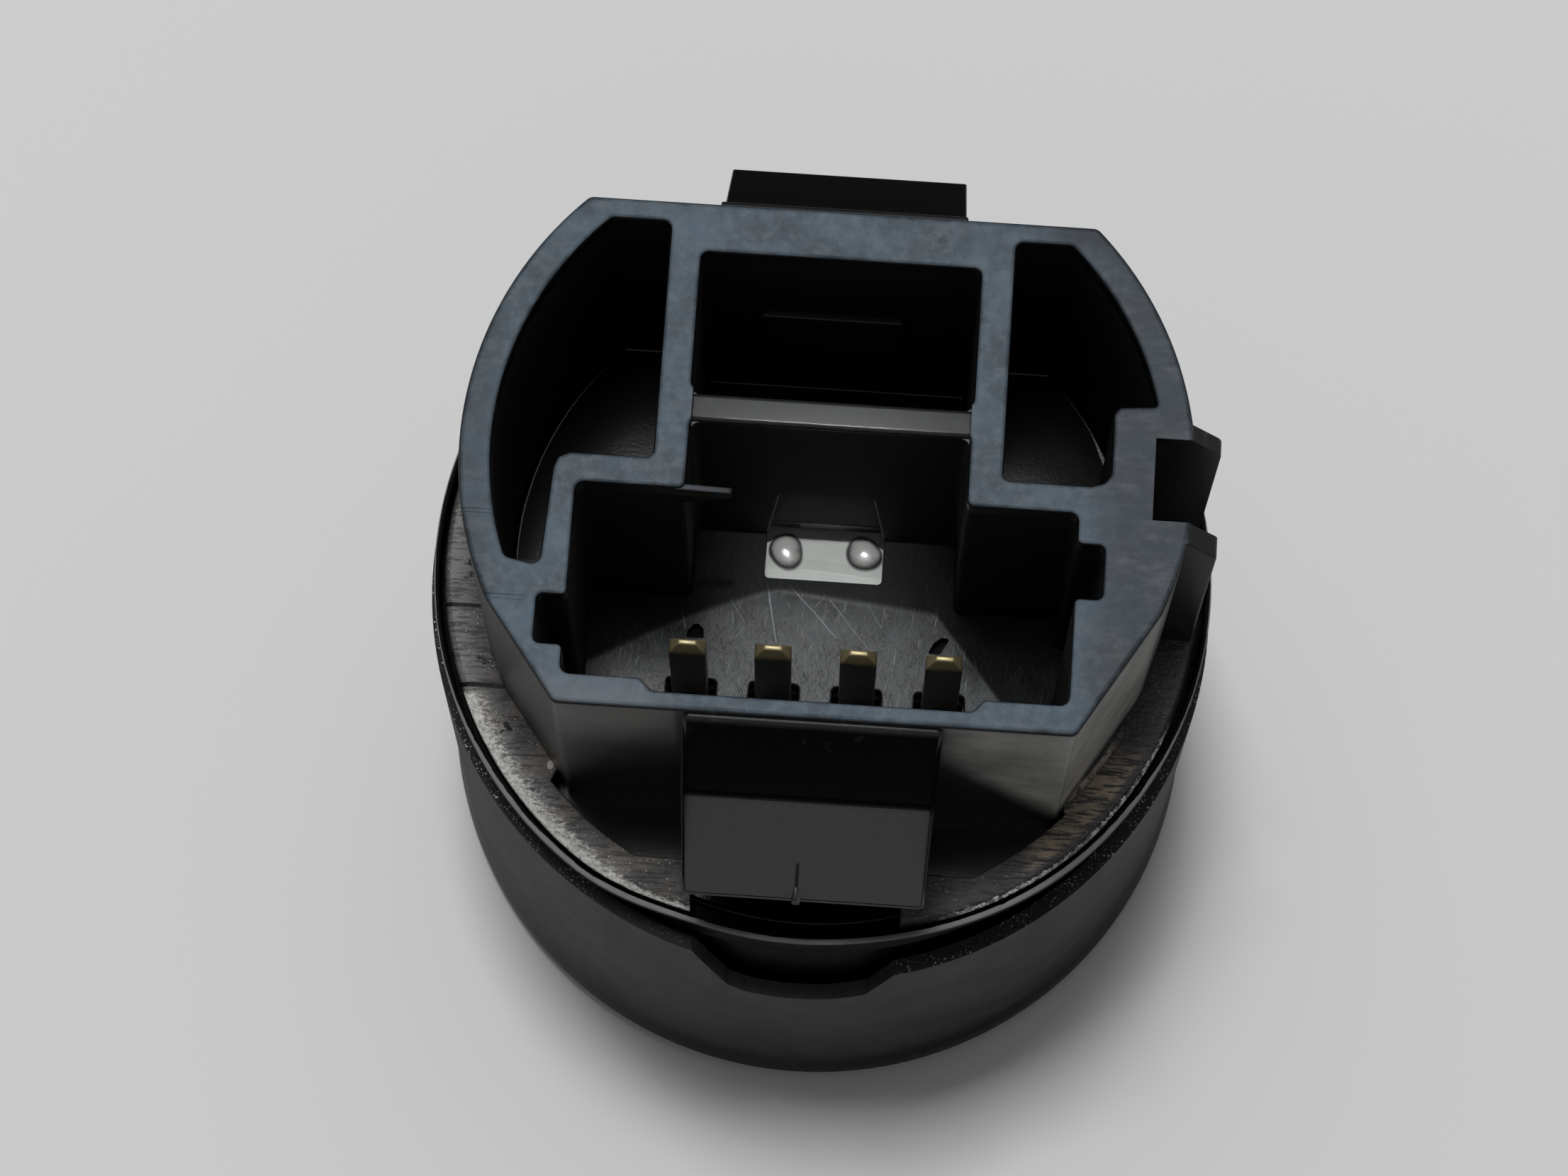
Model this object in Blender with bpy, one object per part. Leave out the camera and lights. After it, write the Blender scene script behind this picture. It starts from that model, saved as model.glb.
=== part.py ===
"""On-off push button switch, standing on its front face with the connector side up.

The origin is the centre of the front face's rest plane. +Z runs along the push axis towards the
connector, and -Y is the side of the sleeve's notch. The constants are in millimetres.
"""

import math

import bmesh
import bpy

MM = 0.001
GAP = 0.3  # clearance between neighbouring pieces

# Sleeve
SLEEVE_R_TOP = 16.65
SLEEVE_R = 16.75  # above the swollen foot
SLEEVE_RI = 16.0
SLEEVE_TOP = 23.2
SLEEVE_STEP = 21.2  # the top edge to the right of the notch
STEP_END = 40.0  # where the lowered edge rises again, in degrees from +X
SLEEVE_FOOT = 0.9
FLARE_R = 16.95
NOTCH = ((-2.93, 18.2), (-2.1, 17.55), (-0.4, 17.4), (1.4, 17.45), (2.95, 17.95), (4.08, 21.2), (4.85, 24.6), (-4.87, 24.6), (-4.45, 23.2), (-3.76, 20.9))

# Housing inside the sleeve
LIP_TOP = 25.5
LIP_R = 16.4
LIP_RI = 16.16
LEDGE_Z = 24.4
LEDGE_RI = 15.5
TUBE_R = 15.65
TUBE_RI = 14.85
TUBE_FOOT = 4.5
BOARD_SEAT_RI = 13.9
WEB_Z0 = 10.3
WEB_Z1 = 11.5

# Rear cover
DISC_R = 15.95
DISC_TOP = 25.4
DISC_STEP = 24.7
RECESS_FLOOR = 23.6
RECESS_R = 14.45
BASE_Z = 22.76
TOWER_TOP = 39.4
TOWER_DY = 0.3  # the tower's outlines are drawn about a line this far behind the disc's centre
TOWER_R = 14.54
TOWER_CY = 0.385
TOWER_BACK_Y = 10.77
TOWER_FRONT_Y = -10.22
INNER_R_TOP = 13.25
INNER_R_FLOOR = 12.85
SOCKET_FLOOR = 23.76
POCKET_FLOOR = 23.46
RIB_TOP = 38.8

# Snap arms
SNAP_HALF = 4.95
SNAP_REACH = 5.28  # from the tower's wall to the tip of the hook
SNAP_SHOULDER_Z = 30.2

# Board, blades and contacts
BOARD_R = 14.4
BOARD_Z0 = 20.6
BOARD_Z1 = 22.2
BLADE_X = (-5.25, -1.75, 1.75, 5.25)
BLADE_Y = -5.1
BLADE_W = 1.5
BLADE_T = 0.64
BLADE_FOOT = 19.2
BLADE_TIP = 31.8
CONTACT_X = 8.4
CONTACT_Y = 2.8
TRAVEL = 1.3

# Button
BUTTON_R = 13.0
BUTTON_FRONT = 0.5


for old in list(bpy.data.objects):
    bpy.data.objects.remove(old, do_unlink=True)


def material(name, colour, roughness, metallic=0.0):
    mat = bpy.data.materials.new(name)
    mat.use_nodes = True
    shader = mat.node_tree.nodes["Principled BSDF"]
    shader.inputs["Base Color"].default_value = (*colour, 1.0)
    shader.inputs["Roughness"].default_value = roughness
    shader.inputs["Metallic"].default_value = metallic
    mat.diffuse_color = (*colour, 1.0)
    return mat


def solid(name, points, faces, mat=None, smooth=None):
    """A closed solid from points in millimetres, its faces turned outwards."""
    mesh = bpy.data.meshes.new(name)
    mesh.from_pydata([(x * MM, y * MM, z * MM) for x, y, z in points], [], faces)
    work = bmesh.new()
    work.from_mesh(mesh)
    bmesh.ops.recalc_face_normals(work, faces=work.faces)
    if work.calc_volume(signed=True) < 0:
        bmesh.ops.reverse_faces(work, faces=work.faces)
    work.to_mesh(mesh)
    work.free()
    obj = bpy.data.objects.new(name, mesh)
    bpy.context.scene.collection.objects.link(obj)
    if mat:
        finish(obj, mat, smooth)
    return obj


def finish(obj, mat, smooth=None):
    obj.data.materials.clear()
    obj.data.materials.append(mat)
    if smooth:
        obj.data.shade_smooth()
        obj.data.set_sharp_from_angle(angle=math.radians(smooth))
    return obj


def revolve(name, profile, steps, mat=None, centre=(0.0, 0.0), smooth=30):
    """Turns a closed (r, z) profile round the vertical line through centre."""
    points, rings = [], []
    for r, z in profile:
        if r < 1e-9:
            rings.append([len(points)] * steps)
            points.append((centre[0], centre[1], z))
        else:
            rings.append(list(range(len(points), len(points) + steps)))
            for k in range(steps):
                a = 2 * math.pi * k / steps
                points.append((centre[0] + r * math.cos(a), centre[1] + r * math.sin(a), z))
    faces = []
    for i in range(len(profile)):
        low, high = rings[i], rings[(i + 1) % len(profile)]
        for k in range(steps):
            n = (k + 1) % steps
            face = []
            for v in (low[k], low[n], high[n], high[k]):
                if v not in face:
                    face.append(v)
            if len(face) > 2:
                faces.append(face)
    return solid(name, points, faces, mat, smooth)


def loft(name, low, z0, high, z1, mat=None, smooth=None):
    """A solid between two outlines with the same number of points."""
    n = len(low)
    points = [(x, y, z0) for x, y in low] + [(x, y, z1) for x, y in high]
    faces = [list(range(n))[::-1], list(range(n, 2 * n))]
    faces += [[k, (k + 1) % n, n + (k + 1) % n, n + k] for k in range(n)]
    return solid(name, points, faces, mat, smooth)


def prism(name, outline, z0, z1, mat=None, smooth=None):
    return loft(name, outline, z0, outline, z1, mat, smooth)


def box(name, x0, x1, y0, y1, z0, z1, mat=None):
    return prism(name, [(x0, y0), (x1, y0), (x1, y1), (x0, y1)], z0, z1, mat)


def sweep_x(name, outline, x0, x1, mat=None):
    """A (y, z) outline pushed along X."""
    n = len(outline)
    points = [(x0, y, z) for y, z in outline] + [(x1, y, z) for y, z in outline]
    faces = [list(range(n))[::-1], list(range(n, 2 * n))]
    faces += [[k, (k + 1) % n, n + (k + 1) % n, n + k] for k in range(n)]
    return solid(name, points, faces, mat)


def sweep_y(name, outline, y0, y1, mat=None):
    """An (x, z) outline pushed along Y."""
    n = len(outline)
    points = [(x, y0, z) for x, z in outline] + [(x, y1, z) for x, z in outline]
    faces = [list(range(n))[::-1], list(range(n, 2 * n))]
    faces += [[k, (k + 1) % n, n + (k + 1) % n, n + k] for k in range(n)]
    return solid(name, points, faces, mat)


def combine(obj, others, operation):
    """Adds the others to obj or cuts them from it, one at a time, and removes them."""
    for other in others:
        step = obj.modifiers.new("step", "BOOLEAN")
        step.operation = operation
        step.solver = "EXACT"
        step.object = other
        bpy.context.view_layer.update()
        graph = bpy.context.evaluated_depsgraph_get()
        made = bpy.data.meshes.new_from_object(obj.evaluated_get(graph))
        obj.modifiers.clear()
        old, name = obj.data, obj.data.name
        obj.data = made
        bpy.data.meshes.remove(old)
        made.name = name
        bpy.data.objects.remove(other, do_unlink=True)
    tidy(obj)
    return obj


def tidy(obj):
    """Merges coincident points and dissolves the needless edges inside flat faces."""
    work = bmesh.new()
    work.from_mesh(obj.data)
    bmesh.ops.remove_doubles(work, verts=work.verts, dist=1e-7)
    bmesh.ops.dissolve_degenerate(work, edges=work.edges, dist=1e-7)
    work.to_mesh(obj.data)
    work.free()


def cut(obj, *others):
    return combine(obj, others, "DIFFERENCE")


def add(obj, *others):
    return combine(obj, others, "UNION")


def arc(cx, cy, r, a0, a1, steps):
    """Points on an arc from angle a0 to a1, both ends included, in degrees."""
    return [
        (cx + r * math.cos(math.radians(a0 + (a1 - a0) * k / steps)),
         cy + r * math.sin(math.radians(a0 + (a1 - a0) * k / steps)))
        for k in range(steps + 1)
    ]


def angle_at_y(r, y, side):
    """The angle at which the tower's circle of radius r passes y, on the right (1) or left (-1)."""
    a = math.degrees(math.asin((y - TOWER_CY) / r))
    return a if side > 0 else 180 - a


# ---------------------------------------------------------------- materials
BLACK_PLASTIC = (0.012, 0.012, 0.014)
mats = {
    "outer_sleeve": material("sleeve_plastic", (0.016, 0.016, 0.017), 0.34),
    "bezel_ring": material("bezel_plastic", (0.013, 0.013, 0.014), 0.42),
    "inner_body": material("body_plastic", (0.010, 0.010, 0.011), 0.30),
    "rear_cover": material("cover_plastic", (0.014, 0.016, 0.020), 0.36),
    "circuit_board": material("board_white", (0.62, 0.64, 0.62), 0.38),
    "button_cap": material("cap_plastic", (0.014, 0.014, 0.015), 0.45),
    "button_lens": material("lens_plastic", (0.60, 0.62, 0.60), 0.22),
    "light_diffuser": material("diffuser_plastic", (0.78, 0.78, 0.76), 0.50),
    "button_slider": material("slider_plastic", (0.72, 0.71, 0.68), 0.48),
    "light_tunnel": material("tunnel_plastic", (0.80, 0.80, 0.79), 0.52),
}


# ---------------------------------------------------------------- sleeve
def foot_round(r_body, r_flare, z_foot):
    """The sleeve's outer line from its side wall down over the swollen foot to the rim."""
    swell = [(r_body + (r_flare - r_body) * (0.5 - 0.5 * math.cos(math.pi * k / 4)), z_foot + 3.4 - 2.2 * k / 4) for k in range(5)]
    under = [(r_flare - 0.5 + 0.5 * math.cos(math.radians(a)), z_foot + 0.5 + 0.5 * math.sin(math.radians(a))) for a in (0, -30, -60, -90)]
    return swell + under


def build_sleeve():
    outer = [(SLEEVE_R_TOP - 0.1, SLEEVE_TOP), (SLEEVE_R_TOP, SLEEVE_TOP - 0.1)]
    outer += foot_round(SLEEVE_R, FLARE_R, SLEEVE_FOOT)
    inner = [(SLEEVE_RI, SLEEVE_FOOT), (SLEEVE_RI, SLEEVE_TOP)]
    sleeve = revolve("outer_sleeve", outer + inner, 72)
    notch = sweep_y("notch", NOTCH, -20.0, -12.0)
    wedge = arc(0, 0, 24.0, 284.0, 360.0 + STEP_END, 12) + arc(0, 0, 12.0, 360.0 + STEP_END, 284.0, 12)
    step = prism("step", wedge, SLEEVE_STEP, SLEEVE_TOP + 2.0)
    cut(sleeve, notch, step)
    finish(sleeve, mats["outer_sleeve"], 30)


def build_bezel():
    revolve(
        "bezel_ring",
        [(13.3, 0.35), (13.65, 0.0), (16.45, 0.0), (16.7, 0.25), (16.7, 0.6), (15.7, 0.6),
         (15.7, 4.2), (13.3, 4.2)],
        48, mats["bezel_ring"],
    )


# ---------------------------------------------------------------- housing
def build_body():
    body = revolve(
        "inner_body",
        [(13.3, TUBE_FOOT), (TUBE_R, TUBE_FOOT), (TUBE_R, 23.6), (LIP_R, 23.6), (LIP_R, LIP_TOP - 0.08),
         (LIP_R - 0.08, LIP_TOP), (LIP_RI, LIP_TOP), (LIP_RI, LEDGE_Z), (LEDGE_RI, LEDGE_Z),
         (LEDGE_RI, 23.6), (TUBE_RI, 23.6), (TUBE_RI, 20.3), (BOARD_SEAT_RI, 20.3),
         (BOARD_SEAT_RI, 19.1), (TUBE_RI, 19.1), (TUBE_RI, WEB_Z1), (5.1, WEB_Z1), (5.1, WEB_Z0),
         (14.2, WEB_Z0), (14.2, 6.9), (13.3, 6.9)],
        60,
    )
    bores = [
        revolve(f"bore_{side}", [(0, 9.0), (1.9, 9.0), (1.9, 13.0), (0, 13.0)], 16,
                centre=(side * CONTACT_X, CONTACT_Y))
        for side in (-1, 1)
    ]
    cut(body, *bores)
    finish(body, mats["inner_body"], 30)


# ---------------------------------------------------------------- rear cover
def tower_outline():
    """Seen from above, anticlockwise from the right end of the front wall."""
    right = arc(0, TOWER_CY, TOWER_R, angle_at_y(TOWER_R, -5.1, 1), angle_at_y(TOWER_R, TOWER_BACK_Y, 1), 12)
    left = arc(0, TOWER_CY, TOWER_R, angle_at_y(TOWER_R, TOWER_BACK_Y, -1), angle_at_y(TOWER_R, -6.2, -1), 13)
    return [(10.35, TOWER_FRONT_Y)] + right + left + [(-10.0, TOWER_FRONT_Y)]


def left_pocket(r, draft):
    curve = arc(0, TOWER_CY, r, angle_at_y(r, 9.9 - draft, -1), angle_at_y(r, -4.43 + draft, -1), 12)
    rest = [(-10.98 - draft, -4.7 + draft), (-10.76 - draft, -0.7 + draft), (-10.6 - draft, -0.22 + draft),
            (-10.13 - draft, 0.0 + draft), (-6.85 - draft, 0.0 + draft), (-6.85 - draft, 9.9 - draft)]
    return curve + rest


def right_pocket(r, draft):
    curve = arc(0, TOWER_CY, r, angle_at_y(r, 3.42, 1), angle_at_y(r, 9.93 - draft, 1), 8)
    rest = [(6.97 + draft, 9.93 - draft), (6.97 + draft, -0.03 + draft), (10.45, -0.03 + draft),
            (10.95, 0.14 + draft), (11.2 - draft, 0.5), (11.2 - draft, 3.0), (11.38 - draft, 3.3)]
    return curve + rest


def socket_outline():
    """The connector socket: wings, key slots and the narrow part towards the rib."""
    return [
        (-9.8, -9.0), (-6.7, -9.0), (-6.2, -9.5), (6.3, -9.5), (6.7, -9.0), (10.0, -9.0),
        (10.0, -4.65), (11.1, -4.65), (11.1, -2.45), (10.0, -2.45), (10.0, -1.2), (5.6, -1.2),
        (5.6, 1.8), (-5.5, 1.8), (-5.5, -1.2), (-9.8, -1.2), (-9.8, -5.87), (-10.95, -5.87),
        (-10.95, -7.85), (-9.8, -7.85),
    ]


def snap_arm(name, wall, side, reach):
    """A springy arm hung from the top of the tower's wall, with a gap behind it and a hook at its foot."""
    line = [(-0.6, 39.0), (0.23, 39.0), (1.98, 34.0), (reach, 30.65),
            (reach, SNAP_SHOULDER_Z), (2.0, SNAP_SHOULDER_Z), (1.86, SNAP_SHOULDER_Z + 0.35),
            (0.12, 35.6), (-0.6, 36.3)]
    outline = [(wall + side * u, z) for u, z in line]
    arm = sweep_x(name, outline, -SNAP_HALF, SNAP_HALF)
    work = bmesh.new()
    work.from_mesh(arm.data)
    edges = []
    for edge in work.edges:
        a, b = edge.verts[0].co / MM, edge.verts[1].co / MM
        if abs(a.x - b.x) > 0.1 or min(abs(a.y - wall), abs(b.y - wall)) > 5.2:
            continue
        out = [(v.y - wall) * side for v in (a, b)]
        if min(out) > 0.2 and min(a.z, b.z) > 30.6:
            edges.append(edge)
    bmesh.ops.bevel(work, geom=edges, offset=0.28 * MM, segments=2, profile=0.5, affect="EDGES")
    work.to_mesh(arm.data)
    work.free()
    return arm


def guide_rib(name, y0, y1):
    outline = [(12.0, 24.95), (15.62, 24.95), (15.62, 37.7), (14.36, TOWER_TOP - 0.03), (12.0, TOWER_TOP - 0.03)]
    return sweep_y(name, outline, y0, y1)


def recess_cutter(name, y0, y1, cut_half_left, cut_half_right, y_end):
    """The sunk floor beside a snap arm, within the circle, with the slot out through the disc's edge."""
    side = 1 if y_end > 0 else -1
    near, far = (y0, y1) if side > 0 else (y1, y0)
    a_far = math.degrees(math.asin(abs(far) / RECESS_R))
    a_near = math.degrees(math.asin(abs(near) / RECESS_R))
    pts = arc(0, 0, RECESS_R, side * a_near, side * a_far, 6)
    mirrored = [(-x, y) for x, y in pts[::-1]]
    outline = pts
    outline += [(cut_half_right, far), (cut_half_right, y_end), (-cut_half_left, y_end), (-cut_half_left, far)]
    outline += mirrored
    return prism(name, outline, RECESS_FLOOR, DISC_TOP + 2.0)


def set_back(obj, by=TOWER_DY):
    """Places a shape of the tower's group at its line behind the disc's centre."""
    obj.location.y = by * MM
    return obj


def build_cover():
    cover = revolve(
        "rear_cover",
        [(0, BASE_Z), (14.5, BASE_Z), (14.5, 23.9), (15.2, 23.9), (15.2, DISC_STEP), (DISC_R, DISC_STEP),
         (DISC_R, DISC_TOP - 0.24), (DISC_R - 0.26, DISC_TOP), (0, DISC_TOP)],
        72,
    )
    cut(cover,
        recess_cutter("front_recess", -12.65, -9.7, 4.55, 4.15, -18.0),
        recess_cutter("back_recess", 10.9, 13.3, 4.4, 4.4, 18.0))
    add(cover,
        set_back(prism("tower", tower_outline(), 23.1, TOWER_TOP)),
        set_back(guide_rib("rib_a", 2.02, 2.8)),
        set_back(guide_rib("rib_b", -2.2, -1.18)),
        set_back(snap_arm("front_snap", TOWER_FRONT_Y, -1, SNAP_REACH)),
        set_back(snap_arm("back_snap", TOWER_BACK_Y, 1, 4.85)))
    over = TOWER_TOP + 1.0
    slope = (over - POCKET_FLOOR) / (TOWER_TOP - POCKET_FLOOR)
    r_over = INNER_R_FLOOR + (INNER_R_TOP - INNER_R_FLOOR) * slope
    shapes = [
        box("groove", 12.9, 17.0, -1.3, 2.1, DISC_TOP + 0.05, over),
        loft("left_pocket", left_pocket(INNER_R_FLOOR, 0.09), POCKET_FLOOR, left_pocket(r_over, 0.0), over),
        loft("right_pocket", right_pocket(INNER_R_FLOOR, 0.09), POCKET_FLOOR, right_pocket(r_over, 0.0), over),
        box("centre_pocket", -5.55, 5.63, 2.95, 8.7, POCKET_FLOOR, over),
        prism("socket", socket_outline(), SOCKET_FLOOR, over),
        box("rib_lowering", -5.48, 5.58, 1.6, 3.2, RIB_TOP, over + 0.4),
        prism("window_floor",
              [(-2.3, -0.13), (2.3, -0.13), (2.5, 0.07), (2.5, 2.45), (-2.5, 2.45), (-2.5, 0.07)],
              BASE_Z - 1.0, SOCKET_FLOOR + 0.4),
        sweep_y("niche", [(-2.5, SOCKET_FLOOR - 0.2), (2.5, SOCKET_FLOOR - 0.2), (2.53, SOCKET_FLOOR + 0.2),
                          (1.95, 29.6), (-1.95, 29.6), (-2.53, SOCKET_FLOOR + 0.2)], 1.5, 2.5),
        box("left_slot", -5.68, -4.76, -2.95, -2.32, SOCKET_FLOOR - 0.5, SOCKET_FLOOR + 0.5),
        box("right_slot", 4.62, 5.55, -3.02, -2.34, SOCKET_FLOOR - 0.5, SOCKET_FLOOR + 0.5),
    ]
    cut(cover, *[set_back(shape) for shape in shapes])
    for x in BLADE_X:
        cut(cover, box("blade_hole", x - 1.05, x + 1.05, BLADE_Y - 0.62, BLADE_Y + 0.62, BASE_Z - 1.0, SOCKET_FLOOR + 1.0))
    # below the disc the tower's back corners stay within the spigot that enters the housing
    ring = [(14.52, BASE_Z - 1.0), (16.0, BASE_Z - 1.0), (16.0, 23.88), (14.52, 23.88)]
    cut(cover, revolve("spigot_ring", ring, 72))
    add(cover,
        set_back(box("back_pad", -3.2, 2.7, 8.4, 9.0, 29.1, 32.8)),
        set_back(sweep_y("corner_web", [(-5.9, 37.2), (-3.7, 38.4), (-3.62, 39.06), (-5.9, 39.22)], -1.24, -0.98)))
    finish(cover, mats["rear_cover"], 28)


# ---------------------------------------------------------------- board and what it carries
def build_board():
    board = revolve("circuit_board", [(0, BOARD_Z0), (BOARD_R, BOARD_Z0), (BOARD_R, BOARD_Z1), (0, BOARD_Z1)], 48)
    for x in BLADE_X:
        cut(board, box("blade_hole", x - 1.05, x + 1.05, BLADE_Y - 0.62, BLADE_Y + 0.62, BOARD_Z0 - 1, BOARD_Z1 + 1))
    finish(board, mats["circuit_board"], 30)

    solder = material("solder_metal", (0.72, 0.72, 0.70), 0.22, 1.0)
    for name, x, y in (("solder_mound_left", -1.65, 1.8), ("solder_mound_right", 1.68, 1.9)):
        profile = [(0, BOARD_Z1 + 0.02)] + [
            (0.74 * math.sin(math.radians(a)), BOARD_Z1 + 0.06 + 0.44 * math.cos(math.radians(a)))
            for a in (90, 72, 54, 36, 18, 0)
        ]
        profile = profile[:1] + [(0.74, BOARD_Z1 + 0.02)] + profile[1:-1] + [(0, BOARD_Z1 + 0.5)]
        revolve(name, profile, 20, solder, centre=(x, y), smooth=50)


def build_blades():
    for n, x in enumerate(BLADE_X, 1):
        mat = material(f"blade_{n}_metal", (0.42, 0.36, 0.22), 0.30, 1.0)
        w, t = BLADE_W / 2, BLADE_T / 2
        base = [(x - w, BLADE_Y - t), (x + w, BLADE_Y - t), (x + w, BLADE_Y + t), (x - w, BLADE_Y + t)]
        tip = [(x - 0.35, BLADE_Y - 0.1), (x + 0.35, BLADE_Y - 0.1), (x + 0.35, BLADE_Y + 0.1), (x - 0.35, BLADE_Y + 0.1)]
        shoulder = BLADE_TIP - 0.65
        levels = [(base, BLADE_FOOT), (base, shoulder), (tip, BLADE_TIP)]
        points = [(px, py, z) for ring, z in levels for px, py in ring]
        faces = [[3, 2, 1, 0], [8, 9, 10, 11]]
        for lv in range(2):
            faces += [[4 * lv + k, 4 * lv + (k + 1) % 4, 4 * lv + 4 + (k + 1) % 4, 4 * lv + 4 + k] for k in range(4)]
        solid(f"terminal_{n}", points, faces, mat)


def build_contacts():
    under = BOARD_Z0 - GAP
    housing_mat = material("contact_black", (0.03, 0.03, 0.032), 0.55)
    cover_mat = material("contact_steel", (0.62, 0.62, 0.60), 0.28, 1.0)
    plunger_mat = material("contact_ivory", (0.70, 0.68, 0.60), 0.45)
    for word, side in (("left", -1), ("right", 1)):
        cx = side * CONTACT_X
        housing = box(f"contact_housing_{word}", cx - 3, cx + 3, CONTACT_Y - 3, CONTACT_Y + 3, 17.2, under, housing_mat)
        cut(housing, revolve("bore", [(0, 16.0), (2.5, 16.0), (2.5, 19.7), (0, 19.7)], 18, centre=(cx, CONTACT_Y)))
        finish(housing, housing_mat, 30)
        plate = box(f"contact_cover_{word}", cx - 2.9, cx + 2.9, CONTACT_Y - 2.9, CONTACT_Y + 2.9, 16.5, 16.9, cover_mat)
        cut(plate, revolve("bore", [(0, 15.0), (2.0, 15.0), (2.0, 18.0), (0, 18.0)], 18, centre=(cx, CONTACT_Y)))
        finish(plate, cover_mat, 30)
        revolve(
            f"contact_plunger_{word}",
            [(0, 15.4), (1.55, 15.4), (1.7, 15.55), (1.7, 17.2), (2.2, 17.2), (2.2, 17.9), (0, 17.9)],
            18, plunger_mat, centre=(cx, CONTACT_Y),
        )


def build_small_parts():
    under = BOARD_Z0 - GAP
    for word, side in (("left", -1), ("right", 1)):
        lamp_mat = material(f"lamp_{word}_resin", (0.80, 0.72, 0.42), 0.30)
        x = side * 2.1
        lamp = box(f"lamp_{word}", x - 1.5, x + 1.5, -1.4, 1.4, 18.5, under, lamp_mat)
        cut(lamp, revolve("bowl", [(0, 18.9), (0.9, 18.9), (1.15, 18.0), (0, 18.0)], 20, centre=(x, 0)))
        finish(lamp, lamp_mat, 30)
    for n, x in enumerate((-4.2, 0.0, 4.2), 1):
        box(f"resistor_{n}", x - 1.0, x + 1.0, -9.6, -8.35, 19.75, under, material(f"resistor_{n}_film", (0.02, 0.02, 0.022), 0.35))
    box("capacitor_1", -1.6, 1.6, 8.2, 9.8, 18.8, under, material("capacitor_ceramic", (0.36, 0.24, 0.14), 0.4))


def build_tunnel():
    revolve(
        "light_tunnel",
        [(4.0, 8.0), (4.8, 8.0), (4.8, 11.8), (5.7, 11.8), (5.7, 12.5), (4.8, 12.5), (4.8, 18.1), (4.0, 18.1)],
        28, mats["light_tunnel"],
    )


# ---------------------------------------------------------------- button
def build_button():
    f = BUTTON_FRONT
    revolve(
        "button_cap",
        [(9.0, f), (BUTTON_R - 0.5, f), (BUTTON_R - 0.15, f + 0.15), (BUTTON_R, f + 0.5), (BUTTON_R, 7.2), (13.9, 7.2),
         (13.9, 8.5), (11.8, 8.5), (11.8, f + 1.5), (9.0, f + 1.5)],
        44, mats["button_cap"],
    )
    revolve(
        "button_lens",
        [(0, f), (8.5, f), (8.7, f + 0.2), (8.7, f + 1.8), (10.4, f + 1.8), (10.4, f + 2.5), (0, f + 2.5)],
        40, mats["button_lens"],
    )
    revolve("light_diffuser", [(0, f + 2.8), (11.4, f + 2.8), (11.4, f + 3.6), (0, f + 3.6)], 32, mats["light_diffuser"])
    slider = revolve("button_slider", [(5.0, f + 3.9), (11.4, f + 3.9), (11.4, f + 5.4), (5.0, f + 5.4)], 36)
    posts = [
        revolve("post", [(0, f + 4.6), (1.6, f + 4.6), (1.6, 14.8), (1.3, 15.1), (0, 15.1)], 16,
                centre=(side * CONTACT_X, CONTACT_Y))
        for side in (-1, 1)
    ]
    add(slider, *posts)
    finish(slider, mats["button_slider"], 30)


def build_spring(name, cx, cy, z0, z1, mean_r, wire_r, turns, mat):
    """A coil of round wire whose end turns lie flat."""
    steps, sides = 10, 5
    total = int(turns * steps)
    pitch_ends = 0.75
    points, faces = [], []
    for k in range(total + 1):
        t = k / steps
        u = min(max((t - pitch_ends) / (turns - 2 * pitch_ends), 0.0), 1.0)
        close = 2 * wire_r * 1.12
        z = z0 + wire_r + close * min(t, pitch_ends) / 1.0
        z += (z1 - z0 - 2 * wire_r - 2 * close * pitch_ends) * u
        z += close * max(t - (turns - pitch_ends), 0.0)
        a = 2 * math.pi * t
        for s in range(sides):
            b = 2 * math.pi * s / sides
            r = mean_r + wire_r * math.cos(b)
            points.append((cx + r * math.cos(a), cy + r * math.sin(a), z + wire_r * math.sin(b)))
    for k in range(total):
        for s in range(sides):
            n = (s + 1) % sides
            faces.append([k * sides + s, k * sides + n, (k + 1) * sides + n, (k + 1) * sides + s])
    faces.append(list(range(sides)))
    faces.append([total * sides + s for s in range(sides)][::-1])
    return solid(name, points, faces, mat, 60)


build_sleeve()
build_bezel()
build_body()
build_cover()
build_board()
build_blades()
build_contacts()
build_small_parts()
build_tunnel()
build_button()
spring_mat = material("spring_steel", (0.55, 0.55, 0.56), 0.25, 1.0)
for word, side in (("left", -1), ("right", 1)):
    build_spring(f"return_spring_{word}", side * CONTACT_X, CONTACT_Y, BUTTON_FRONT + 5.7, WEB_Z0 - GAP, 2.2, 0.22, 3.75, spring_mat)
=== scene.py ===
"""Looks of the on-off push button switch: finer shapes, materials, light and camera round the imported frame.

All lengths in the helper calls are millimetres in the row frame: z 0 is the front face's rest plane,
+Z points to the connector, -Y is the notch's side.
"""
import math
import random

import bmesh
import bpy
from mathutils import Matrix, Vector, noise


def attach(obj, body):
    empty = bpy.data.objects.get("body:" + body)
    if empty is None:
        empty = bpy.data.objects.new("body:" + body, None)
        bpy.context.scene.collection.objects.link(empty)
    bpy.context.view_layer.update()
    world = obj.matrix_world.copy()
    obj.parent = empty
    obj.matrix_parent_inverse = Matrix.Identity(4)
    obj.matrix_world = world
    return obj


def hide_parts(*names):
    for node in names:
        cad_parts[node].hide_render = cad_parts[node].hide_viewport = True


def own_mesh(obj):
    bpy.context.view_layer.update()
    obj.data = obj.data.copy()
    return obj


MM = 0.001

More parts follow.
